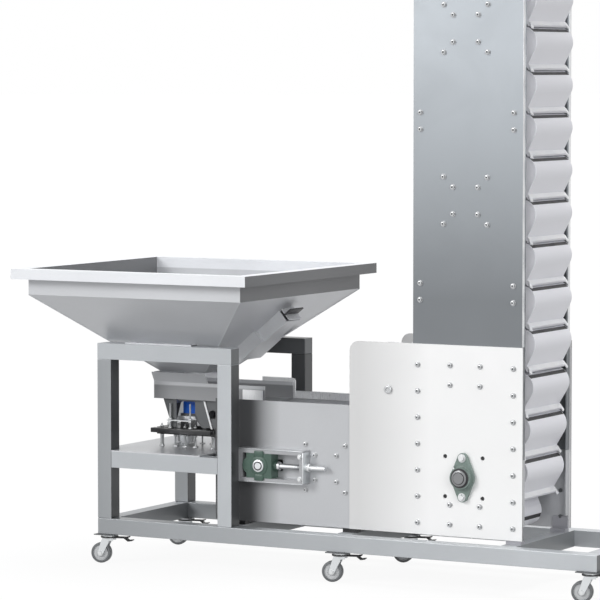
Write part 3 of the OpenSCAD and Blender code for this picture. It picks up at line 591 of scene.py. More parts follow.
def steel_finishes(colours):
    """Tube, sheet and machined steel."""
    tube, sheet = colours.tube, colours.sheet
    left, right = x_at(-480), x_at(0)
    rim_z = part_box("hopper_skirt")[1].z - 0.032
    # Painted shade on the back post and the back beam
    back_stand_shade = (0.2, (x_at(-300), x_at(-150)), (at(0, 440, 0).y, at(0, 455, 0).y))
    # Painted shadow of the front post on the boot's side
    post_shadow = (0.22, (x_at(125), x_at(20)), (at(0, 210, 0).y, at(0, 200, 0).y))
    even = (6, 6, 6)
    # The side tones below are painted shade on the faces that look to +X
    brushed_finish("tube_x", tube, lines_along("X", 30), rough=0.34, side=0.3, shade_zone=back_stand_shade)
    # Painted light: the rails are darker at the left and lighter to the right
    brushed_finish("rail_x", tinted(tube, 0.68), lines_along("X", 30), rough=0.34, side=0.4,
                   fade=("X", left, x_at(1000), 1.65))
    brushed_finish("tube_y", tube, lines_along("Y", 30), rough=0.34, side=0.5)
    # Painted light: the posts are darker at the left and lighter to the right
    brushed_finish("tube_z", tinted(tube, 0.68), lines_along("Z", 30), rough=0.34, side=0.22,
                   shade_zone=back_stand_shade, fade=("X", left, right, 1.62))
    brushed_finish("hopper_sheet", sheet, lines_along("X"), rough=0.38, side=0.3)
    # Painted highlight: the rim band above rim_z is lighter than the skirt
    brushed_finish("rim_sheet", sheet, lines_along("X"), rough=0.34, side=0.27,
                   fade=("Z", rim_z - 0.003, rim_z, 1.38))
    brushed_finish("sheet_bright", sheet, lines_along("X"), metallic=0.5, rough=0.3)
    brushed_finish("channel_sheet", tinted(sheet, 0.68), lines_along("X"), metallic=0.4, rough=0.3)
    # Painted light and shade: the flared collar is lighter than the darker body
    brushed_finish("tray_sheet", tinted(sheet, 0.5), lines_along("X"), rough=0.4,
                   fade=("Z", 0.552, 0.556, 1.9))
    brushed_finish("feeder_steel", (0.60, 0.61, 0.62), even, rough=0.35, fade=("Z", 0.394, 0.395, 0.04))
    brushed_finish("boot_sheet", tinted(sheet, 0.87), lines_along("Z"), shade_zone=post_shadow)
    # Painted shadow: the casing feet are near-black, and lighter past X 700
    brushed_finish("foot_shadow_sheet", (0.012, 0.012, 0.013), lines_along("Y"), rough=0.4,
                   fade=("X", x_at(700), x_at(701), 32.0))
    brushed_finish("head_sheet", tinted(sheet, 1.1), lines_along("Z"))
    # Painted reflection: the dark column tone grows lighter towards the top
    brushed_finish("column_sheet", colours.column, lines_along("X"), rough=0.4, spread=0.05,
                   fade=("Z", 0.86, 1.62, 2.75))
    # Pale sheet: on the column folds a painted highlight, on the boot's folded edges painted light
    brushed_finish("pale_sheet_and_highlight", (0.86, 0.87, 0.88), lines_along("Z"), rough=0.3)
    # Painted light and shade: lighter to the right, darker on the faces that look to +X
    brushed_finish("corner_sheet", colours.corner, lines_along("Z"), rough=0.4, spread=0.03, marks=0.04,
                   side=0.5, fade=("X", x_at(400), x_at(640), 1.36))
    brushed_finish("bright_steel", (0.66, 0.67, 0.68), lines_along("Y"), metallic=0.6, rough=0.24)
    brushed_finish("shaft_steel", (0.24, 0.245, 0.25), lines_along("Y"), metallic=0.5, rough=0.3)
    brushed_finish("bolt_steel", (0.60, 0.61, 0.62), even, rough=0.25, side=0.35)
    brushed_finish("dark_steel", (0.12, 0.125, 0.13), (1, 1, 20), metallic=0.5, rough=0.38)
    brushed_finish("zinc", (0.36, 0.37, 0.38), even, metallic=0.5, rough=0.3, marks=0.25)
    # Dark zinc for the castor plates and nuts, and painted shade in the bolt sockets
    brushed_finish("dark_zinc_and_shade", (0.12, 0.125, 0.13), even, metallic=0.5)
    brushed_finish("chain_steel", (0.15, 0.15, 0.16), (8, 8, 8), metallic=0.5, rough=0.34, marks=0.4)


def coated_finishes(colours):
    """Enamel, rubber and moulded plastic."""
    enamel_finish("black_enamel", (0.02, 0.02, 0.022), rough=0.4)
    enamel_finish("bearing_enamel", colours.bearing, rough=0.42, skin=0.4)
    enamel_finish("green_enamel", colours.take_up, rough=0.4, skin=0.4)
    enamel_finish("motor_enamel", colours.motor, rough=0.3, skin=0.15, coat=0.2)
    # Black seals and lips; also painted shadow in the plate holes and between the buckets
    enamel_finish("rubber_and_painted_shadow", (0.03, 0.03, 0.032), rough=0.6, scale=400.0)
    enamel_finish("castor_tyre", colours.tyre, rough=0.5, scale=400.0)
    moulded_finish("coil_plastic", colours.coil, rough=0.3, above=((0.07, 0.072, 0.075), 0.463))
    moulded_finish("white_plastic", (0.84, 0.85, 0.86))
    moulded_finish("castor_hub", (0.56, 0.57, 0.58), rough=0.4)
    # The buckets: painted shade on what looks down, painted light on the ends
    moulded_finish("bucket_plastic", colours.bucket, rough=0.36, shade_under=0.5, ends=(colours.bucket_lit_end, 0.1225))
    moulded_finish("bucket_lit_edge", colours.bucket_lit_end, rough=0.36)


class ELEVATOR_OT_finishes(bpy.types.Operator):
    """Builds the materials, puts one on every node and rounds the tube edges"""
    bl_idname = "elevator.finishes"
    bl_label = "Finishes"

    def execute(self, context):
        for build in (brushed_grain, cast_skin, handling_marks):
            build()
        for build in (steel_finishes, coated_finishes):
            build(context.scene.elevator_colours)
        for name, piece in frame["nodes"].items():
            finish = NODE_FINISH.get(name, "castor_tyre")
            if name.startswith("buckets"):
                finish = "bucket_plastic"
            if name.startswith("castor_fork"):
                finish = "zinc"
            piece.data.materials.clear()
            piece.data.materials.append(bpy.data.materials[finish])
        for name in TUBE_NODES:
            piece = frame["nodes"][name]
            weld = piece.modifiers.new("weld", "WELD")
            weld.merge_threshold = 0.00001
            edge = piece.modifiers.new("edge", "BEVEL")
            edge.width = context.scene.elevator_sizes.edge_round
            edge.segments = 2
            edge.limit_method = "ANGLE"
            edge.harden_normals = True
        return {"FINISHED"}


def whiten(tree, surface, output, kind, strength, share):
    """Shows white, by a share, to camera, glossy and transmission rays; the surface stays for the rest."""
    nodes, links = tree.nodes, tree.links
    path = nodes.new("ShaderNodeLightPath")
    rays = path.outputs["Is Camera Ray"]
    for name in ("Is Glossy Ray", "Is Transmission Ray"):
        either = nodes.new("ShaderNodeMath")
        either.operation = "MAXIMUM"
        links.new(rays, either.inputs[0])
        links.new(path.outputs[name], either.inputs[1])
        rays = either.outputs[0]
    part = nodes.new("ShaderNodeMath")
    part.operation = "MULTIPLY"
    part.inputs[1].default_value = share
    links.new(rays, part.inputs[0])
    white = nodes.new(kind)
    white.inputs["Color"].default_value = (1, 1, 1, 1)
    white.inputs["Strength"].default_value = strength
    blend = nodes.new("ShaderNodeMixShader")
    for index, socket in enumerate((part.outputs[0], surface.outputs[0], white.outputs[0])):
        links.new(socket, blend.inputs[index])
    links.new(blend.outputs[0], nodes[output].inputs["Surface"])


# The photograph's viewpoint: its place, its tilt down and turn in degrees, and its lens
VIEW_PLACE = (5214, -8913, 1544)
VIEW_TILT = 3.89
VIEW_TURN = 29.16
VIEW_LENS = 203.75
# Each lamp's place in metres, its strength and how wide it is in degrees
LAMPS = {
    "Key": ((-4.2, -7.8, 5.2), 1.45, 22),
    "Fill": ((6.6, -6.0, 3.4), 1.35, 40),
    "Top": ((0.8, 1.2, 8.0), 2.3, 40),
}
# What the lamps look at
LAMP_AIM = Vector((0.3, 0, 1.0))


class ELEVATOR_OT_stage(bpy.types.Operator):
    """Places the camera, the lamps, the world and the floor"""
    bl_idname = "elevator.stage"
    bl_label = "Stage"

    def execute(self, context):
        scene = context.scene
        scene.view_settings.view_transform = "Standard"
        deselect()
        bpy.ops.object.camera_add(location=at(*VIEW_PLACE),
                                  rotation=(math.radians(90 - VIEW_TILT), 0, math.radians(VIEW_TURN)))
        camera = context.object
        camera.name = "Viewpoint"
        camera.data.sensor_width = 36
        camera.data.lens = VIEW_LENS
        camera.data.clip_end = 200
        scene.camera = camera
        world = bpy.data.worlds.new("Studio")
        scene.world = world
        world.use_nodes = True
        light = world.node_tree.nodes["Background"]
        light.inputs["Color"].default_value = (0.94, 0.97, 1.0, 1)
        light.inputs["Strength"].default_value = 0.24
        whiten(world.node_tree, light, "World Output", "ShaderNodeBackground", 1.0, 1.0)
        for name, (place, energy, soft) in LAMPS.items():
            deselect()
            bpy.ops.object.light_add(type="SUN", location=place)
            lamp = context.object
            lamp.name = name
            lamp.data.energy = energy
            lamp.data.angle = math.radians(soft)
            lamp.rotation_euler = (LAMP_AIM - Vector(place)).to_track_quat("-Z", "Y").to_euler()
        deselect()
        bpy.ops.mesh.primitive_plane_add(size=400, location=(0, 0, 0))
        floor = adopt("Floor")
        made = bpy.data.materials.new("pale_floor")
        made.use_nodes = True
        surface = made.node_tree.nodes["Principled BSDF"]
        surface.inputs["Base Color"].default_value = (0.34, 0.34, 0.34, 1)
        surface.inputs["Roughness"].default_value = 0.8
        surface.inputs["Specular IOR Level"].default_value = 0.0
        whiten(made.node_tree, surface, "Material Output", "ShaderNodeEmission", 1.16, 0.8)
        floor.data.materials.append(made)
        return {"FINISHED"}


# Casing bolts

def grid(xs, zs):
    return [(x, z) for x in xs for z in zs]


def casing_bolt(sizes):
    """A domed socket bolt on its washer at the origin."""
    washer = front_drum("washer", 0.8, sizes.bolt_washer * 1000, 1.6, 14)
    head = soften(front_drum("head", 4.4, sizes.bolt_head * 1000, 5.6, 14), 1.9, 2, 50)
    sink(head, facing(FRONT), 1.6, -2.6, FRONT)
    return [washer, head]


def hex_bolt(head, washer, tall):
    """A hexagon bolt on its washer at the origin."""
    ring = front_drum("washer", 1, washer, 2, 20)
    return [ring, soften(front_drum("head", 2 + tall / 2, head, tall, 6), 0.9, 1, 50)]


def corner_plate_bolts(low, high):
    """Bolts of the lower corner plate and of the upper one, which lies between two corners."""
    bolts = grid((599, 915), [190 + 79 * k for k in range(7)]) + grid((707, 806), (190, 249, 607, 666))
    rows = [low.z + 40 + 78 * k for k in range(9)]
    return (bolts + grid((599,), rows) + grid((high.x - 40,), rows[:6]) +
            grid((720, 840, 960, 1080, 1180), (rows[0], rows[-1])))


def sheet_bolts(upper_z):
    """Bolts of the boot, of the column up to the upper corner plate, and of the head."""
    bolts = [(x, SHAFT_Z + way * z) for way in SIGNS for x, z in ((213, 70), (245, 38), (320, 40), (350, 71))]
    first_joint, bay = 1156, 508
    for k in range(4):
        middle = first_joint + bay * k
        if middle < upper_z - 90:
            for half_x, half_z in ((72, 70), (41, 40)):
                bolts += [(CORNER_X + u * half_x, middle + v * half_z) for u, v in CORNERS]
        bolts += grid((604, 911), [z for z in (middle - 298, middle - 248) if 700 < z < upper_z - 20])
    return bolts + grid((DRIVE_X - 110, DRIVE_X + 110), (TOP_Z - 90, TOP_Z + 90))


class ELEVATOR_OT_casing_bolts(bpy.types.Operator):
    """Sets out the bolts of the casing on both sides, dark discs that paint the shadow in its plain holes,
    and folds the column's edges in pale sheet that paints a highlight
    """
    bl_idname = "elevator.casing_bolts"
    bl_label = "Casing Bolts"

    def execute(self, context):
        low, high = span("upper_corner_plates")
        plate = corner_plate_bolts(low, high)
        sheet = sheet_bolts(low.z)
        both = both_sides(plate, PLATE_Y) + both_sides(sheet, CASE_Y)
        inner = both_sides(plate + sheet, CASE_Y + 4, inwards=True)
        # Dark discs in the plain holes of the corner plates paint the shadow inside them
        pits = both_sides([(CORNER_X + u * 62, SHAFT_Z + v * 60) for u, v in CORNERS], CASE_Y)
        fit(casing_bolt(context.scene.elevator_sizes), "casing_bolts", both, "bolt_steel")
        # Dark discs in the bolt heads paint the shade in their sockets
        fit([front_drum("socket", 4.9, 3, 0.6, 6)], "bolt_sockets", both, "dark_zinc_and_shade")
        fit([front_drum("nut", 2.5, 6.6, 5, 6), front_drum("tail", 4.5, 3.2, 5, 8)], "casing_nuts", inner,
            "dark_zinc_and_shade")
        fit([front_drum("pit", 0.2, 6.4, 0.4, 20)], "plate_pits", pits, "rubber_and_painted_shadow")
        dome = soften(front_drum("dome", 3.5, 13, 7), 4.5, 3, 50)
        sink(dome, facing(FRONT), 3, -3, FRONT)
        fit([dome], "boss_bolts", both_sides([(500, 585)], PLATE_Y), "bolt_steel")
        column_low, column_high = span("column_sides")
        bottom = span("lower_corner_plates")[1].z + 1
        # The pale tone of the column folds is a painted highlight
        folds = []
        for x, y in grid((column_low.x - 0.8, column_high.x - 3.2), (CASE_Y + 0.4, CASE_FAR_Y - 14.4)):
            folds.append(soften(block("fold", (x, y, bottom), (x + 4, y + 14, low.z - 1)), 0.8, 1))
        settle(join("column_folds", folds), "pale_sheet_and_highlight")
        return {"FINISHED"}


class ELEVATOR_OT_bearings(bpy.types.Operator):
    """Fits seals, races, collars, nipples and bolts to the flange bearings"""
    bl_idname = "elevator.bearings"
    bl_label = "Bearings"

    def execute(self, context):
        places = both_sides([(CORNER_X, SHAFT_Z)], PLATE_Y) + both_sides([(CORNER_X, TOP_Z)], PLATE_Y)
        places += both_sides([(DRIVE_X, TOP_Z)], CASE_Y)
        ears = [m @ Matrix.Translation((0, -0.012, z)) for m in places for z in (-0.0585, 0.0585)]
        seal = soften(front_drum("seal", 28.7, 29.5, 1.4, 40), 0.5, 1)
        eye = front_drum("eye", 35.2, 18.5, 1.6, 40)
        fit([seal, eye], "bearing_seals", places, "rubber_and_painted_shadow")
        race = soften(front_drum("race", 32, 24, 6, 40), 1, 2)
        core = soften(front_drum("core", 36.2, 16.6, 4.4, 40), 0.6, 1)
        screw = drum("set screw", Vector((0.019, -0.032, 0.006)), (1, 0, 0.3), 3.2, 9, sides=6)
        fit([race, core, screw], "bearing_races", places, "shaft_steel")
        fit(hex_bolt(9.5, 12.5, 7.5), "bearing_bolts", ears, "bright_steel")
        nipple = drum("nipple", Vector((-0.022, -0.021, 0.026)), (-0.7, 0, 0.8), 3, 8, sides=10)
        knob = drum("knob", Vector((-0.0255, -0.021, 0.0302)), (-0.7, 0, 0.8), 2, 6, sides=10, top=2.6)
        fit([nipple, knob], "bearing_nipples", places, "bright_steel")
        foot = soften(front_drum("foot", 13.5, 36.5, 3, 48), 1.4, 2)
        fit([foot], "bearing_shoulders", places, "bearing_enamel")
        return {"FINISHED"}


# Take-ups

def threaded_rod(name, start, end, radius, pitch=2.4):
    """A screw from start to end, as a row of thread crests on a core."""
    way = (end - start).normalized()
    length = (end - start).length * 1000
    root = radius - 1
    core = drum(name + " core", (start + end) / 2, way, radius - 1.2, length, sides=16)
    half = way * pitch / 4000
    crest = drum(name + " crest", start + half, way, root, pitch * 0.5, sides=16, top=radius)
    fall = drum(name + " fall", start + half * 3, way, radius, pitch * 0.5, sides=16, top=root)
    thread = repeat(join(name, [crest, fall]), int(length / pitch), way * pitch / 1000)
    return join(name, [core, thread])


def hex_nut(name, middle, along, across, thick):
    """A chamfered hexagon nut."""
    nut = drum(name, middle, along, across / 2 / math.cos(math.pi / 6), thick, sides=6)
    return soften(nut, 1.1, 1, 50)


def take_up_parts(back):
    """Hardware, bracket, casting and seal pieces of the take-up on one side."""
    low, high = span("take_up_frames")
    block_end = span("take_up_bearings")[1].x
    ear_x = high.x - 12
    out = BACK if back else FRONT

    def side_y(y):
        """The Y of a place that lies so far behind the take-up's middle plane, on this side."""
        return mirrored(CASE_Y - 20 + y) if back else CASE_Y - 20 + y

    def disc(name, x, y, radius, depth, sides, z=SHAFT_Z):
        return drum(name, at(x, side_y(y), z), out, radius, depth, sides)

    def slab(name, xs, ys, zs, edge, segments):
        near, far = sorted(side_y(y) for y in ys)
        return soften(block(name, (xs[0], near, zs[0]), (xs[1], far, zs[1])), edge, segments)

    def on_screw(x):
        return at(x, side_y(0), SHAFT_Z)

    hardware = [threaded_rod("screw", on_screw(block_end + 4), on_screw(high.x + 66), 8),
                hex_nut("nut", on_screw(high.x + 7), ALONG, 25, 13),
                hex_nut("lock nut", on_screw(block_end + 14), ALONG, 25, 9)]
    brackets = [slab("bridge", (high.x - 2, high.x + 2), (-24, 18), (SHAFT_Z - 47, SHAFT_Z + 47), 1.2, 2),
                soften(disc("race", TAIL_X, -26.5, 19, 7, 40), 1.2, 2),
                soften(disc("shaft end", TAIL_X, -30.6, 10.5, 3, 32), 0.8, 1)]
    for z in (SHAFT_Z - 51, SHAFT_Z + 49):
        brackets.append(slab("lip", (low.x + 2, high.x - 3), (-23, -20), (z, z + 2), 0.6, 1))
    for z in (SHAFT_Z - 34, SHAFT_Z + 34):
        hardware.append(disc("ear", ear_x, -21, 8, 3, 16, z))
        hardware.append(soften(disc("ear bolt", ear_x, -25, 6, 6, 6, z), 0.7, 1, 50))
    seals = [disc("seal", TAIL_X, -24.6, 25, 1.6, 40), disc("gap", TAIL_X, -30.2, 14, 0.8, 40)]
    castings = [soften(disc("boss", TAIL_X, -24, 30, 4, 48), 1.5, 2),
                soften(drum("neck", on_screw(block_end + 2), ALONG, 15, 14), 2, 2)]
    for z in (SHAFT_Z - 46, SHAFT_Z + 26):
        castings.append(slab("rib", (TAIL_X - 16, TAIL_X + 16), (-27, -20), (z, z + 20), 3, 2))
    return hardware, brackets, castings, seals


class ELEVATOR_OT_take_ups(bpy.types.Operator):
    """Fits the take-up units with their screws, nuts, end brackets and bearing inserts"""
    bl_idname = "elevator.take_ups"
    bl_label = "Take-ups"

    def execute(self, context):
        pairs = zip(take_up_parts(False), take_up_parts(True))
        hardware, brackets, castings, seals = (near + far for near, far in pairs)
        screws = settle(join("take_up_hardware", hardware), "bright_steel")
        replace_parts(screws, "take_up_screws")
        settle(join("take_up_brackets", brackets), "zinc")
        settle(join("take_up_castings", castings), "green_enamel")
        settle(join("take_up_seals", seals), "rubber_and_painted_shadow")
        return {"FINISHED"}


# The chain's own path, as the solids have it

def chain_stretches():
    """The stretches of the loop, each a line or an arc."""
    bend, head, offset, rise = 148.6, 214.0, 24.6, 112
    left, right = CORNER_X - WHEEL_R, CORNER_X + WHEEL_R + offset
    low = (left - bend, SHAFT_Z + WHEEL_R + bend)
    high = (right + head, TOP_Z - WHEEL_R - head)
    meet = low[1] + rise
    dx, dz = right - CORNER_X, meet - SHAFT_Z
    lean = math.atan2(dz, dx) - math.acos(WHEEL_R / math.hypot(dx, dz))
    foot = (CORNER_X + WHEEL_R * math.cos(lean), SHAFT_Z + WHEEL_R * math.sin(lean))
    return [
        ("line", (TAIL_X, SHAFT_Z - WHEEL_R), (CORNER_X, SHAFT_Z - WHEEL_R)),
        ("arc", (CORNER_X, SHAFT_Z), WHEEL_R, -90, 90 + math.degrees(lean)),
        ("line", foot, (right, meet)),
        ("line", (right, meet), (right, high[1])),
        ("arc", high, head, 180, -90),
        ("line", (high[0], TOP_Z - WHEEL_R), (DRIVE_X, TOP_Z - WHEEL_R)),
        ("arc", (DRIVE_X, TOP_Z), WHEEL_R, -90, 180),
        ("line", (DRIVE_X, TOP_Z + WHEEL_R), (CORNER_X, TOP_Z + WHEEL_R)),
        ("arc", (CORNER_X, TOP_Z), WHEEL_R, 90, 90),
        ("line", (left, TOP_Z), (left, low[1])),
        ("arc", low, bend, 0, -90),
        ("line", (low[0], SHAFT_Z + WHEEL_R), (TAIL_X, SHAFT_Z + WHEEL_R)),
        ("arc", (TAIL_X, SHAFT_Z), WHEEL_R, 90, 180)]


def stretch_length(part):
    if part[0] == "line":
        return math.dist(part[1], part[2])
    return part[2] * math.radians(abs(part[4]))


def chain_point(parts, run):
    """The place on the loop after a run in millimetres, with its stretch and its heading in degrees."""
    run %= sum(stretch_length(p) for p in parts)
    for index, part in enumerate(parts):
        length = stretch_length(part)
        if run <= length:
            break
        run -= length
    if part[0] == "line":
        a, b = Vector(part[1]), Vector(part[2])
        return a.lerp(b, run / length), index, math.degrees(math.atan2(b.y - a.y, b.x - a.x))
    angle = math.radians(part[3]) + math.copysign(run / part[2], part[4])
    place = Vector((part[1][0] + part[2] * math.cos(angle), part[1][1] + part[2] * math.sin(angle)))
    return place, index, math.degrees(angle) + math.copysign(90, part[4])


def bucket_lean(index, heading):
    """The turn of a bucket on a stretch of the loop, in degrees."""
    turns = {1: heading, 2: heading, 3: 90.0, 4: 108.0, 5: 4.0}
    ahead, back = math.radians(heading), math.radians(2 * (heading - 180))
    turns[6] = 24 * math.sin(ahead) + 12 * math.sin(2 * ahead)
    turns[8] = -42 * math.sin(back)
    turns[12] = -6 * math.sin(back)
    return turns.get(index, 0.0)


def bucket_places():
    """One matrix for every bucket, with its pin as the origin."""
    parts = chain_stretches()
    total = sum(stretch_length(p) for p in parts)
    places = []
    for k in range(round(total / BUCKET_PITCH)):
        place, index, heading = chain_point(parts, START + k * BUCKET_PITCH)
        turn = Matrix.Rotation(-math.radians(bucket_lean(index, heading)), 4, "Y")
        places.append(Matrix.Translation(at(place.x, MID_Y, place.y)) @ turn)
    return places


def link_plate(thick):
    """A plate with round ends over one pitch, ahead of the origin."""
    plate = drum("plate", Vector((0, 0, 0)), BACK, 9.6, thick, sides=12)
    for vertex in plate.data.vertices:
        if vertex.co.x > 1e-6:
            vertex.co.x += PITCH / 1000
    return plate


class ELEVATOR_OT_chain(bpy.types.Operator):
    """Links, pins and rollers of both chain strands, in place of the plain loops"""
    bl_idname = "elevator.chain"
    bl_label = "Chain"

    def execute(self, context):
        thick = context.scene.elevator_sizes.link_plate * 1000
        inner_gap, outer_gap = 5.3, 3.65
        parts = chain_stretches()
        total = sum(stretch_length(p) for p in parts)
        count = round(total / PITCH / 2) * 2
        points = [chain_point(parts, START + k * total / count)[0] for k in range(count)]
        low, high = span("chain_loops")
        for side, y_mid in (("front", low.y + 6), ("back", high.y - 6)):
            plates, joints = [], []
            for k, point in enumerate(points):
                ahead = points[(k + 1) % count] - point
                turn = Matrix.Rotation(-math.atan2(ahead.y, ahead.x), 4, "Y")
                gap = outer_gap if k % 2 else inner_gap
                for sign in SIGNS:
                    plates.append(Matrix.Translation(at(point.x, y_mid + sign * gap, point.y)) @ turn)
                joints.append(Matrix.Translation(at(point.x, y_mid, point.y)))
            links = set_out(link_plate(thick), "chain_links_" + side, plates)
            roller = drum("roller", Vector((0, 0, 0)), BACK, 7, 5.6, sides=12)
            pin = drum("pin", Vector((0, 0, 0)), BACK, 3.6, 12.6, sides=8)
            rollers = set_out(join("roller", [roller, pin]), "rollers", joints)
            strand = join("chain_strand_" + side, [links, rollers])
            settle(strand, "chain_steel", smooth=30)
            if side == "front":
                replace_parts(strand, "chain_loops")
        return {"FINISHED"}


class ELEVATOR_OT_bucket_trim(bpy.types.Operator):
    """The pale lip along every bucket with an ear at each end, pale as painted light, a dark band that paints
    the shadow between the buckets, and the heads of its pins
    """
    bl_idname = "elevator.bucket_trim"
    bl_label = "Bucket Lips"

    def execute(self, context):
        places = bucket_places()
        trim = [soften(bar("lip", (context.scene.elevator_sizes.lip_width, 0.2535, 0.0022)), 0.6, 1)]
        heads = []
        for sign in SIGNS:
            place = (0.0080, sign * 0.1235, -0.0008)
            ear = bar("ear", (0.0215, 0.0125, 0.0044), place, (0, 0.12, sign * 0.45))
            trim.append(soften(ear, 1.2, 2))
            head = drum("pin head", Vector((0, sign * 0.1279, 0)), (0, sign, 0), 7.6, 3.4, sides=16)
            heads.append(soften(head, 1.2, 2, 50))
        lip = join("lip", trim)
        lay_along(lip, (-13, 0, -10), (-0.0545, 0, -0.059), 0.0004)
        # A dark band along each bucket paints the shadow in the gap behind the lip
        strip = bar("strip", (0.0125, 0.2495, 0.0016))
        lay_along(strip, (-7.4, 0, -9.0), (0.0513, 0, -0.0655), -0.0004)
        # The lips, ears and pin heads take the lighter end colour, as painted light
        fit([lip], "bucket_lips", places, "bucket_lit_edge", smooth=30)
        fit([strip], "bucket_strips", places, "rubber_and_painted_shadow", smooth=30)
        fit(heads, "bucket_pin_heads", places, "bucket_lit_edge", smooth=30)
        return {"FINISHED"}


# Castors

def castor_matrices(index):
    """The places of one castor's swivel and of its axle: the joint's own place and its turn about Z."""
    joints = {j["name"]: j for j in frame["joints"]}
    swivel = joints[f"castor_swivel_{index}"]["pos_m"]
    spin = joints[f"castor_spin_{index}"]
    way = Vector(spin["axis"])
    turn = Matrix.Rotation(math.atan2(-way.x, way.y), 4, "Z")
    return Matrix.Translation((swivel[0], swivel[1], 0)) @ turn, Matrix.Translation(spin["pos_m"]) @ turn


def castor_wheel(index, place):
    """A tyre with rounded shoulders on a stepped hub."""
    wheel = drum(f"castor_wheel_detail_{index}", Vector((0, 0, 0)), BACK, 32, 25, sides=48)
    soften(wheel, 4.5, 3, 60)
    for way in (BACK, FRONT):
        for border, depth in ((3.5, -2.5), (3, 1.2), (9, -2), (1, 4.5)):
            sink(wheel, middle_facing(way), border, depth, way)
    settle(wheel, "castor_tyre", f"wheel_{index}")
    hub_radius = 0.0238
    wheel.data.materials.append(bpy.data.materials["castor_hub"])
    for face in wheel.data.polygons:
        face.material_index = 1 if math.hypot(face.center.x, face.center.z) < hub_radius else 0
    wheel.data.transform(place)
    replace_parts(wheel, f"castor_wheel_{index}")


def castor_axle(index, place):
    """Bolt heads and washers at both ends of the axle."""
    parts = []
    for sign in SIGNS:
        head = drum("axle head", Vector((0, sign * 0.0205, 0)), (0, sign, 0), 6.5, 5, sides=6)
        cap = drum("axle washer", Vector((0, sign * 0.0184, 0)), (0, sign, 0), 8.5, 1.2, sides=20)
        parts += [soften(head, 0.6, 1, 50), cap]
    axle = join(f"castor_axle_{index}", parts)
    axle.data.transform(place)
    settle(axle, "bright_steel", f"swivel_{index}")


def castor_brake(index, place):
    """The swivel ring and the bent brake pedal."""
    ring = soften(drum("ring", Vector((0, 0, 0.0825)), UP, 28, 5, sides=40), 1.5, 2)
    lever = bar("lever", (0.030, 0.026, 0.0032), (0.035, 0, 0.0811))
    sink(lever, facing(ALONG), 0.01, 16, (1, 0, -0.75))
    sink(lever, facing((1, 0, -0.1), 0.6), 0.01, 14, (1, 0, 0.15))
    brake = join(f"castor_brake_{index}", [ring, soften(lever, 1, 2, 25)])
    brake.data.transform(place)
    settle(brake, "black_enamel", f"swivel_{index}")


class ELEVATOR_OT_castors(bpy.types.Operator):
    """Wheels with tyres and hubs, axle bolts, swivel rings and brake pedals"""
    bl_idname = "elevator.castors"
    bl_label = "Castors"

    def execute(self, context):
        for index in range(1, 7):
            swivel, spin = castor_matrices(index)
            castor_wheel(index, spin)
            castor_axle(index, spin)
            castor_brake(index, swivel)
        return {"FINISHED"}


class ELEVATOR_OT_hopper_fittings(bpy.types.Operator):
    """Gate lip and the welded corners of the hopper"""
    bl_idname = "elevator.hopper_fittings"
    bl_label = "Hopper Fittings"

    def execute(self, context):
        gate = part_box("hopper_gate")[1]
        axis = Vector(next(j for j in frame["joints"] if j["name"] == "gate_slide")["axis"])
        up = Vector((-axis.z, 0, axis.x))
        turn = Matrix((axis, BACK, up)).transposed().to_4x4()
        tip = Vector((gate.x, CORNER.y + MID_Y / 1000, gate.z)) - up * 0.006
        lip = soften(bar("gate_lip", (0.034, 0.082, 0.005), (-0.013, 0, 0.0025)), 1.2, 2)
        lip.data.transform(Matrix.Translation(tip) @ turn)
        settle(lip, "rubber_and_painted_shadow", "gate")
        low, high = span("hopper_skirt")
        middle = (low.x + high.x) / 2
        outlet_half, outlet_z, wall_half, wall_z = 81, 597.5, 380, 845
        beads = []
        for u, v in CORNERS:
            foot = at(middle + u * outlet_half, MID_Y + v * outlet_half, outlet_z)
            way = at(middle + u * wall_half, MID_Y + v * wall_half, wall_z) - foot
            beads.append(drum("bead", foot + way / 2, way, 1.6, way.length * 1000, sides=8))
        settle(join("hopper_beads", beads), "hopper_sheet")
        return {"FINISHED"}


# Feeder

def side_of(y):
    return "front" if y < MID_Y else "back"


def feeder_studs():
    """Studs with nuts and pads along the base, the two bars beside it and the crossbars."""
    low, high = span("feeder_base")
    steel = []
    for x in (low.x + 14, low.x + 64, low.x + 100, low.x + 137, high.x - 14):
        for y in (low.y + 7, high.y - 7):
            steel.append(threaded_rod("stud", at(x, y, low.z), at(x, y, high.z + 12), 3))
            steel += [hex_nut("nut", at(x, y, z), UP, 11, 5) for z in (high.z + 3, high.z - 25)]
            steel.append(drum("pad", at(x, y, low.z + 1.5), UP, 9, 3, sides=20))
    for y in (low.y - 24, high.y + 24):
        for x in (low.x + 64, low.x + 137):
            steel.append(threaded_rod("stud", at(x, y, high.z - 12), at(x, y, high.z + 80), 3.2))
            steel += [hex_nut("nut", at(x, y, high.z + rise), UP, 12, 5) for rise in (3, 22, 31)]
        steel.append(block("crossbar", (low.x + 56, y - 9, high.z + 25), (low.x + 145, y + 9, high.z + 28)))
        rail = block("feeder_bar_" + side_of(y), (low.x - 2, y - 12, high.z - 14),
                     (high.x + 2, y + 12, high.z))
        settle(soften(rail, 1.2, 2), "black_enamel")
    settle(join("feeder_studs", steel), "bright_steel")


def feeder_clamps():
    """Clamps with their bolts at both ends of the leaf springs."""
    low, high = span("feeder_springs")
    clamps = []
    for foot_x in (low.x, low.x + 130):
        for y in (MID_Y - 52, MID_Y + 22):
            for x, z in ((foot_x - 4, low.z + 9), (foot_x + 22, high.z - 9)):
                clamp = block("clamp", (x, y - 2, z - 7), (x + 12, y + 32, z + 7))
                head = drum("clamp bolt", at(x - 3, y + 15, z), (-1, 0, 0), 6, 6, sides=6)
                clamps += [soften(clamp, 1.2, 2), soften(head, 0.7, 1, 50)]
    settle(join("feeder_clamps", clamps), "bright_steel")


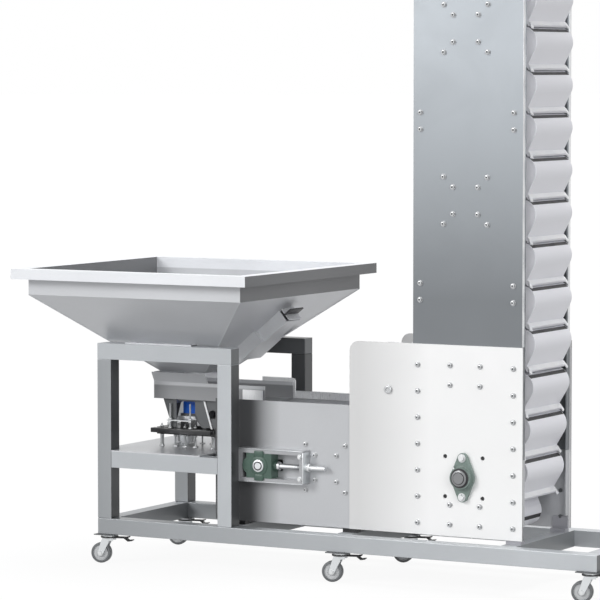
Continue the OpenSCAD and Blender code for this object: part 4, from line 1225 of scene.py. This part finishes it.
def feeder_coils(low, high):
    """Cores, straps and windings of the coil, which lies between two corners."""
    cores, turns = [], []
    for y in (low.y - 3, high.y):
        foot = block("core foot", (low.x - 8, y, low.z + 26), (high.x + 6, y + 3, low.z + 38))
        strap = block("strap", (high.x + 2, y, low.z + 8), (high.x + 16, y + 3, high.z - 2))
        cores += [soften(foot, 0.8, 1), soften(strap, 0.8, 1)]
    settle(join("coil_cores", cores), "sheet_bright")
    for y in (MID_Y - 41, MID_Y + 15):
        winding = block("winding", (low.x + 5, y, low.z + 47), (high.x - 5, y + 26, low.z + 49.4))
        turns.append(repeat(soften(winding, 0.8, 1), 11, Vector((0, 0, 0.003))))
    settle(join("coil_windings", turns), "coil_plastic")


def bracket_sheets(low, high):
    """The feeder's side brackets with a window before the coil, their cheeks, and the pale leaf springs."""
    sheets = frame["nodes"]["feeder_brackets"].copy()
    sheets.data = sheets.data.copy()
    sheets.parent = None
    for key in list(sheets.keys()):
        del sheets[key]
    bpy.context.scene.collection.objects.link(sheets)
    window = block("window", (low.x - 20, low.y - 60, low.z + 20), (high.x + 10, high.y + 60, high.z - 6))
    cut = sheets.modifiers.new("window", "BOOLEAN")
    cut.operation = "DIFFERENCE"
    cut.object = window
    apply_all(sheets)
    bpy.data.objects.remove(window)
    cheeks = []
    knee = at(low.x - 20, 0, low.z + 40)
    for y in (low.y - 28, high.y + 25):
        cheek = block("cheek", (low.x - 46, y, low.z + 4), (low.x + 2, y + 3, high.z - 1))
        for vertex in cheek.data.vertices:
            if vertex.co.x < knee.x and vertex.co.z < knee.z:
                vertex.co.x += 0.032
        cheeks.append(cheek)
        leaf = block("feeder_leaf_" + side_of(y), (low.x + 102, y - 3, low.z + 4),
                     (low.x + 108, y - 1, high.z - 4))
        for vertex in leaf.data.vertices:
            if vertex.co.z < knee.z:
                vertex.co.x += 0.027
        settle(leaf, "pale_sheet_and_highlight")
    whole = join("bracket_sheets", [sheets] + cheeks)
    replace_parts(settle(whole, "dark_steel"), "feeder_brackets")


def tray_cheeks():
    """The pale cheeks past the tray's end, each with one rounded corner."""
    low, high = span("feeder_tray")
    far_z = low.z + 66
    nose = block("nose", (-44, low.y - 1, low.z + 1), (high.x + 1, low.y + 2, low.z + 43))
    far = block("far cheek", (-90, high.y - 9, low.z + 3), (high.x + 4, high.y - 5, far_z))
    round_edge(nose, high.x, low.z, 12)
    round_edge(far, high.x, far_z, 12)
    settle(join("tray_cheeks", [nose, far]), "pale_sheet_and_highlight")


def boot_linings():
    """The folded top edges of the boot's sides, in pale sheet that paints light on their shaded inner faces.
    """
    linings = []
    for y in (CASE_Y + 4, CASE_FAR_Y - 8):
        linings.append(soften(block("lining", (-60, y, 506), (366, y + 4, 529.5)), 0.8, 1))
    settle(join("boot_linings", linings), "pale_sheet_and_highlight")


class ELEVATOR_OT_feeder_fittings(bpy.types.Operator):
    """Studs, clamps, coil windings, brackets and cheeks of the vibrating feeder, and the boot's folded edges
    in pale sheet that paints light
    """
    bl_idname = "elevator.feeder_fittings"
    bl_label = "Feeder Fittings"

    def execute(self, context):
        feeder_studs()
        feeder_clamps()
        feeder_coils(*span("feeder_coil"))
        bracket_sheets(*span("feeder_coil"))
        tray_cheeks()
        boot_linings()
        return {"FINISHED"}


class ELEVATOR_OT_motor_fittings(bpy.types.Operator):
    """Cooling fins, fan cover, terminal box lid and bolts of the gear motor"""
    bl_idname = "elevator.motor_fittings"
    bl_label = "Motor Fittings"

    def execute(self, context):
        low, high = span("gear_motor")
        y = high.y - 60

        def ring(name, x, radius, depth):
            return drum(name, at(x, y, TOP_Z), ALONG, radius, depth, sides=48)

        fins = repeat(soften(ring("fin", low.x + 62, 71, 3), 0.8, 1), 16, Vector((0.0095, 0, 0)))
        cover = soften(ring("cover", low.x + 24, 73, 48), 7, 3)
        for border, depth in ((12, -4), (14, 4)):
            sink(cover, facing((-1, 0, 0)), border, depth, (-1, 0, 0))
        lid = block("lid", (low.x + 86, y - 46, TOP_Z + 98), (low.x + 192, y + 46, TOP_Z + 109))
        cap = drum("gear cap", at(DRIVE_X, high.y + 2, TOP_Z), BACK, 46, 6, sides=48)
        flange = soften(ring("flange", DRIVE_X - 96, 80, 12), 2, 2)
        shell = [fins, cover, soften(lid, 3, 3), soften(cap, 2, 2), flange]
        settle(join("motor_shell", shell), "motor_enamel")
        spots = facing_out([at(DRIVE_X + 68 * u, high.y, TOP_Z + 68 * v) for u, v in CORNERS], True)
        fit(hex_bolt(8, 11, 6), "motor_bolts", spots, "bright_steel")
        return {"FINISHED"}


STEPS = ("stage", "finishes", "casing_bolts", "bearings", "take_ups", "chain", "bucket_trim", "castors",
         "hopper_fittings", "feeder_fittings", "motor_fittings")


class ELEVATOR_PT_pieces(bpy.types.Panel):
    """Lists the elevator's steps"""
    bl_idname = "ELEVATOR_PT_pieces"
    bl_label = "Bucket Elevator"
    bl_space_type = "VIEW_3D"
    bl_region_type = "UI"
    bl_category = "Elevator"

    def draw(self, context):
        for step in STEPS:
            self.layout.operator("elevator." + step)
        for group in (context.scene.elevator_sizes, context.scene.elevator_colours):
            for name in group.__annotations__:
                self.layout.prop(group, name)


CLASSES = (ElevatorSizes, ElevatorColours, ELEVATOR_OT_stage, ELEVATOR_OT_finishes, ELEVATOR_OT_casing_bolts,
           ELEVATOR_OT_bearings, ELEVATOR_OT_take_ups, ELEVATOR_OT_chain, ELEVATOR_OT_bucket_trim,
           ELEVATOR_OT_castors, ELEVATOR_OT_hopper_fittings, ELEVATOR_OT_feeder_fittings,
           ELEVATOR_OT_motor_fittings, ELEVATOR_PT_pieces)


def register():
    for one in CLASSES:
        bpy.utils.register_class(one)
    bpy.types.Scene.elevator_sizes = bpy.props.PointerProperty(type=ElevatorSizes)
    bpy.types.Scene.elevator_colours = bpy.props.PointerProperty(type=ElevatorColours)


def unregister():
    del bpy.types.Scene.elevator_colours
    del bpy.types.Scene.elevator_sizes
    for one in reversed(CLASSES):
        bpy.utils.unregister_class(one)


def main():
    register()
    for step in STEPS:
        getattr(bpy.ops.elevator, step)()


if __name__ == "__main__":
    main()
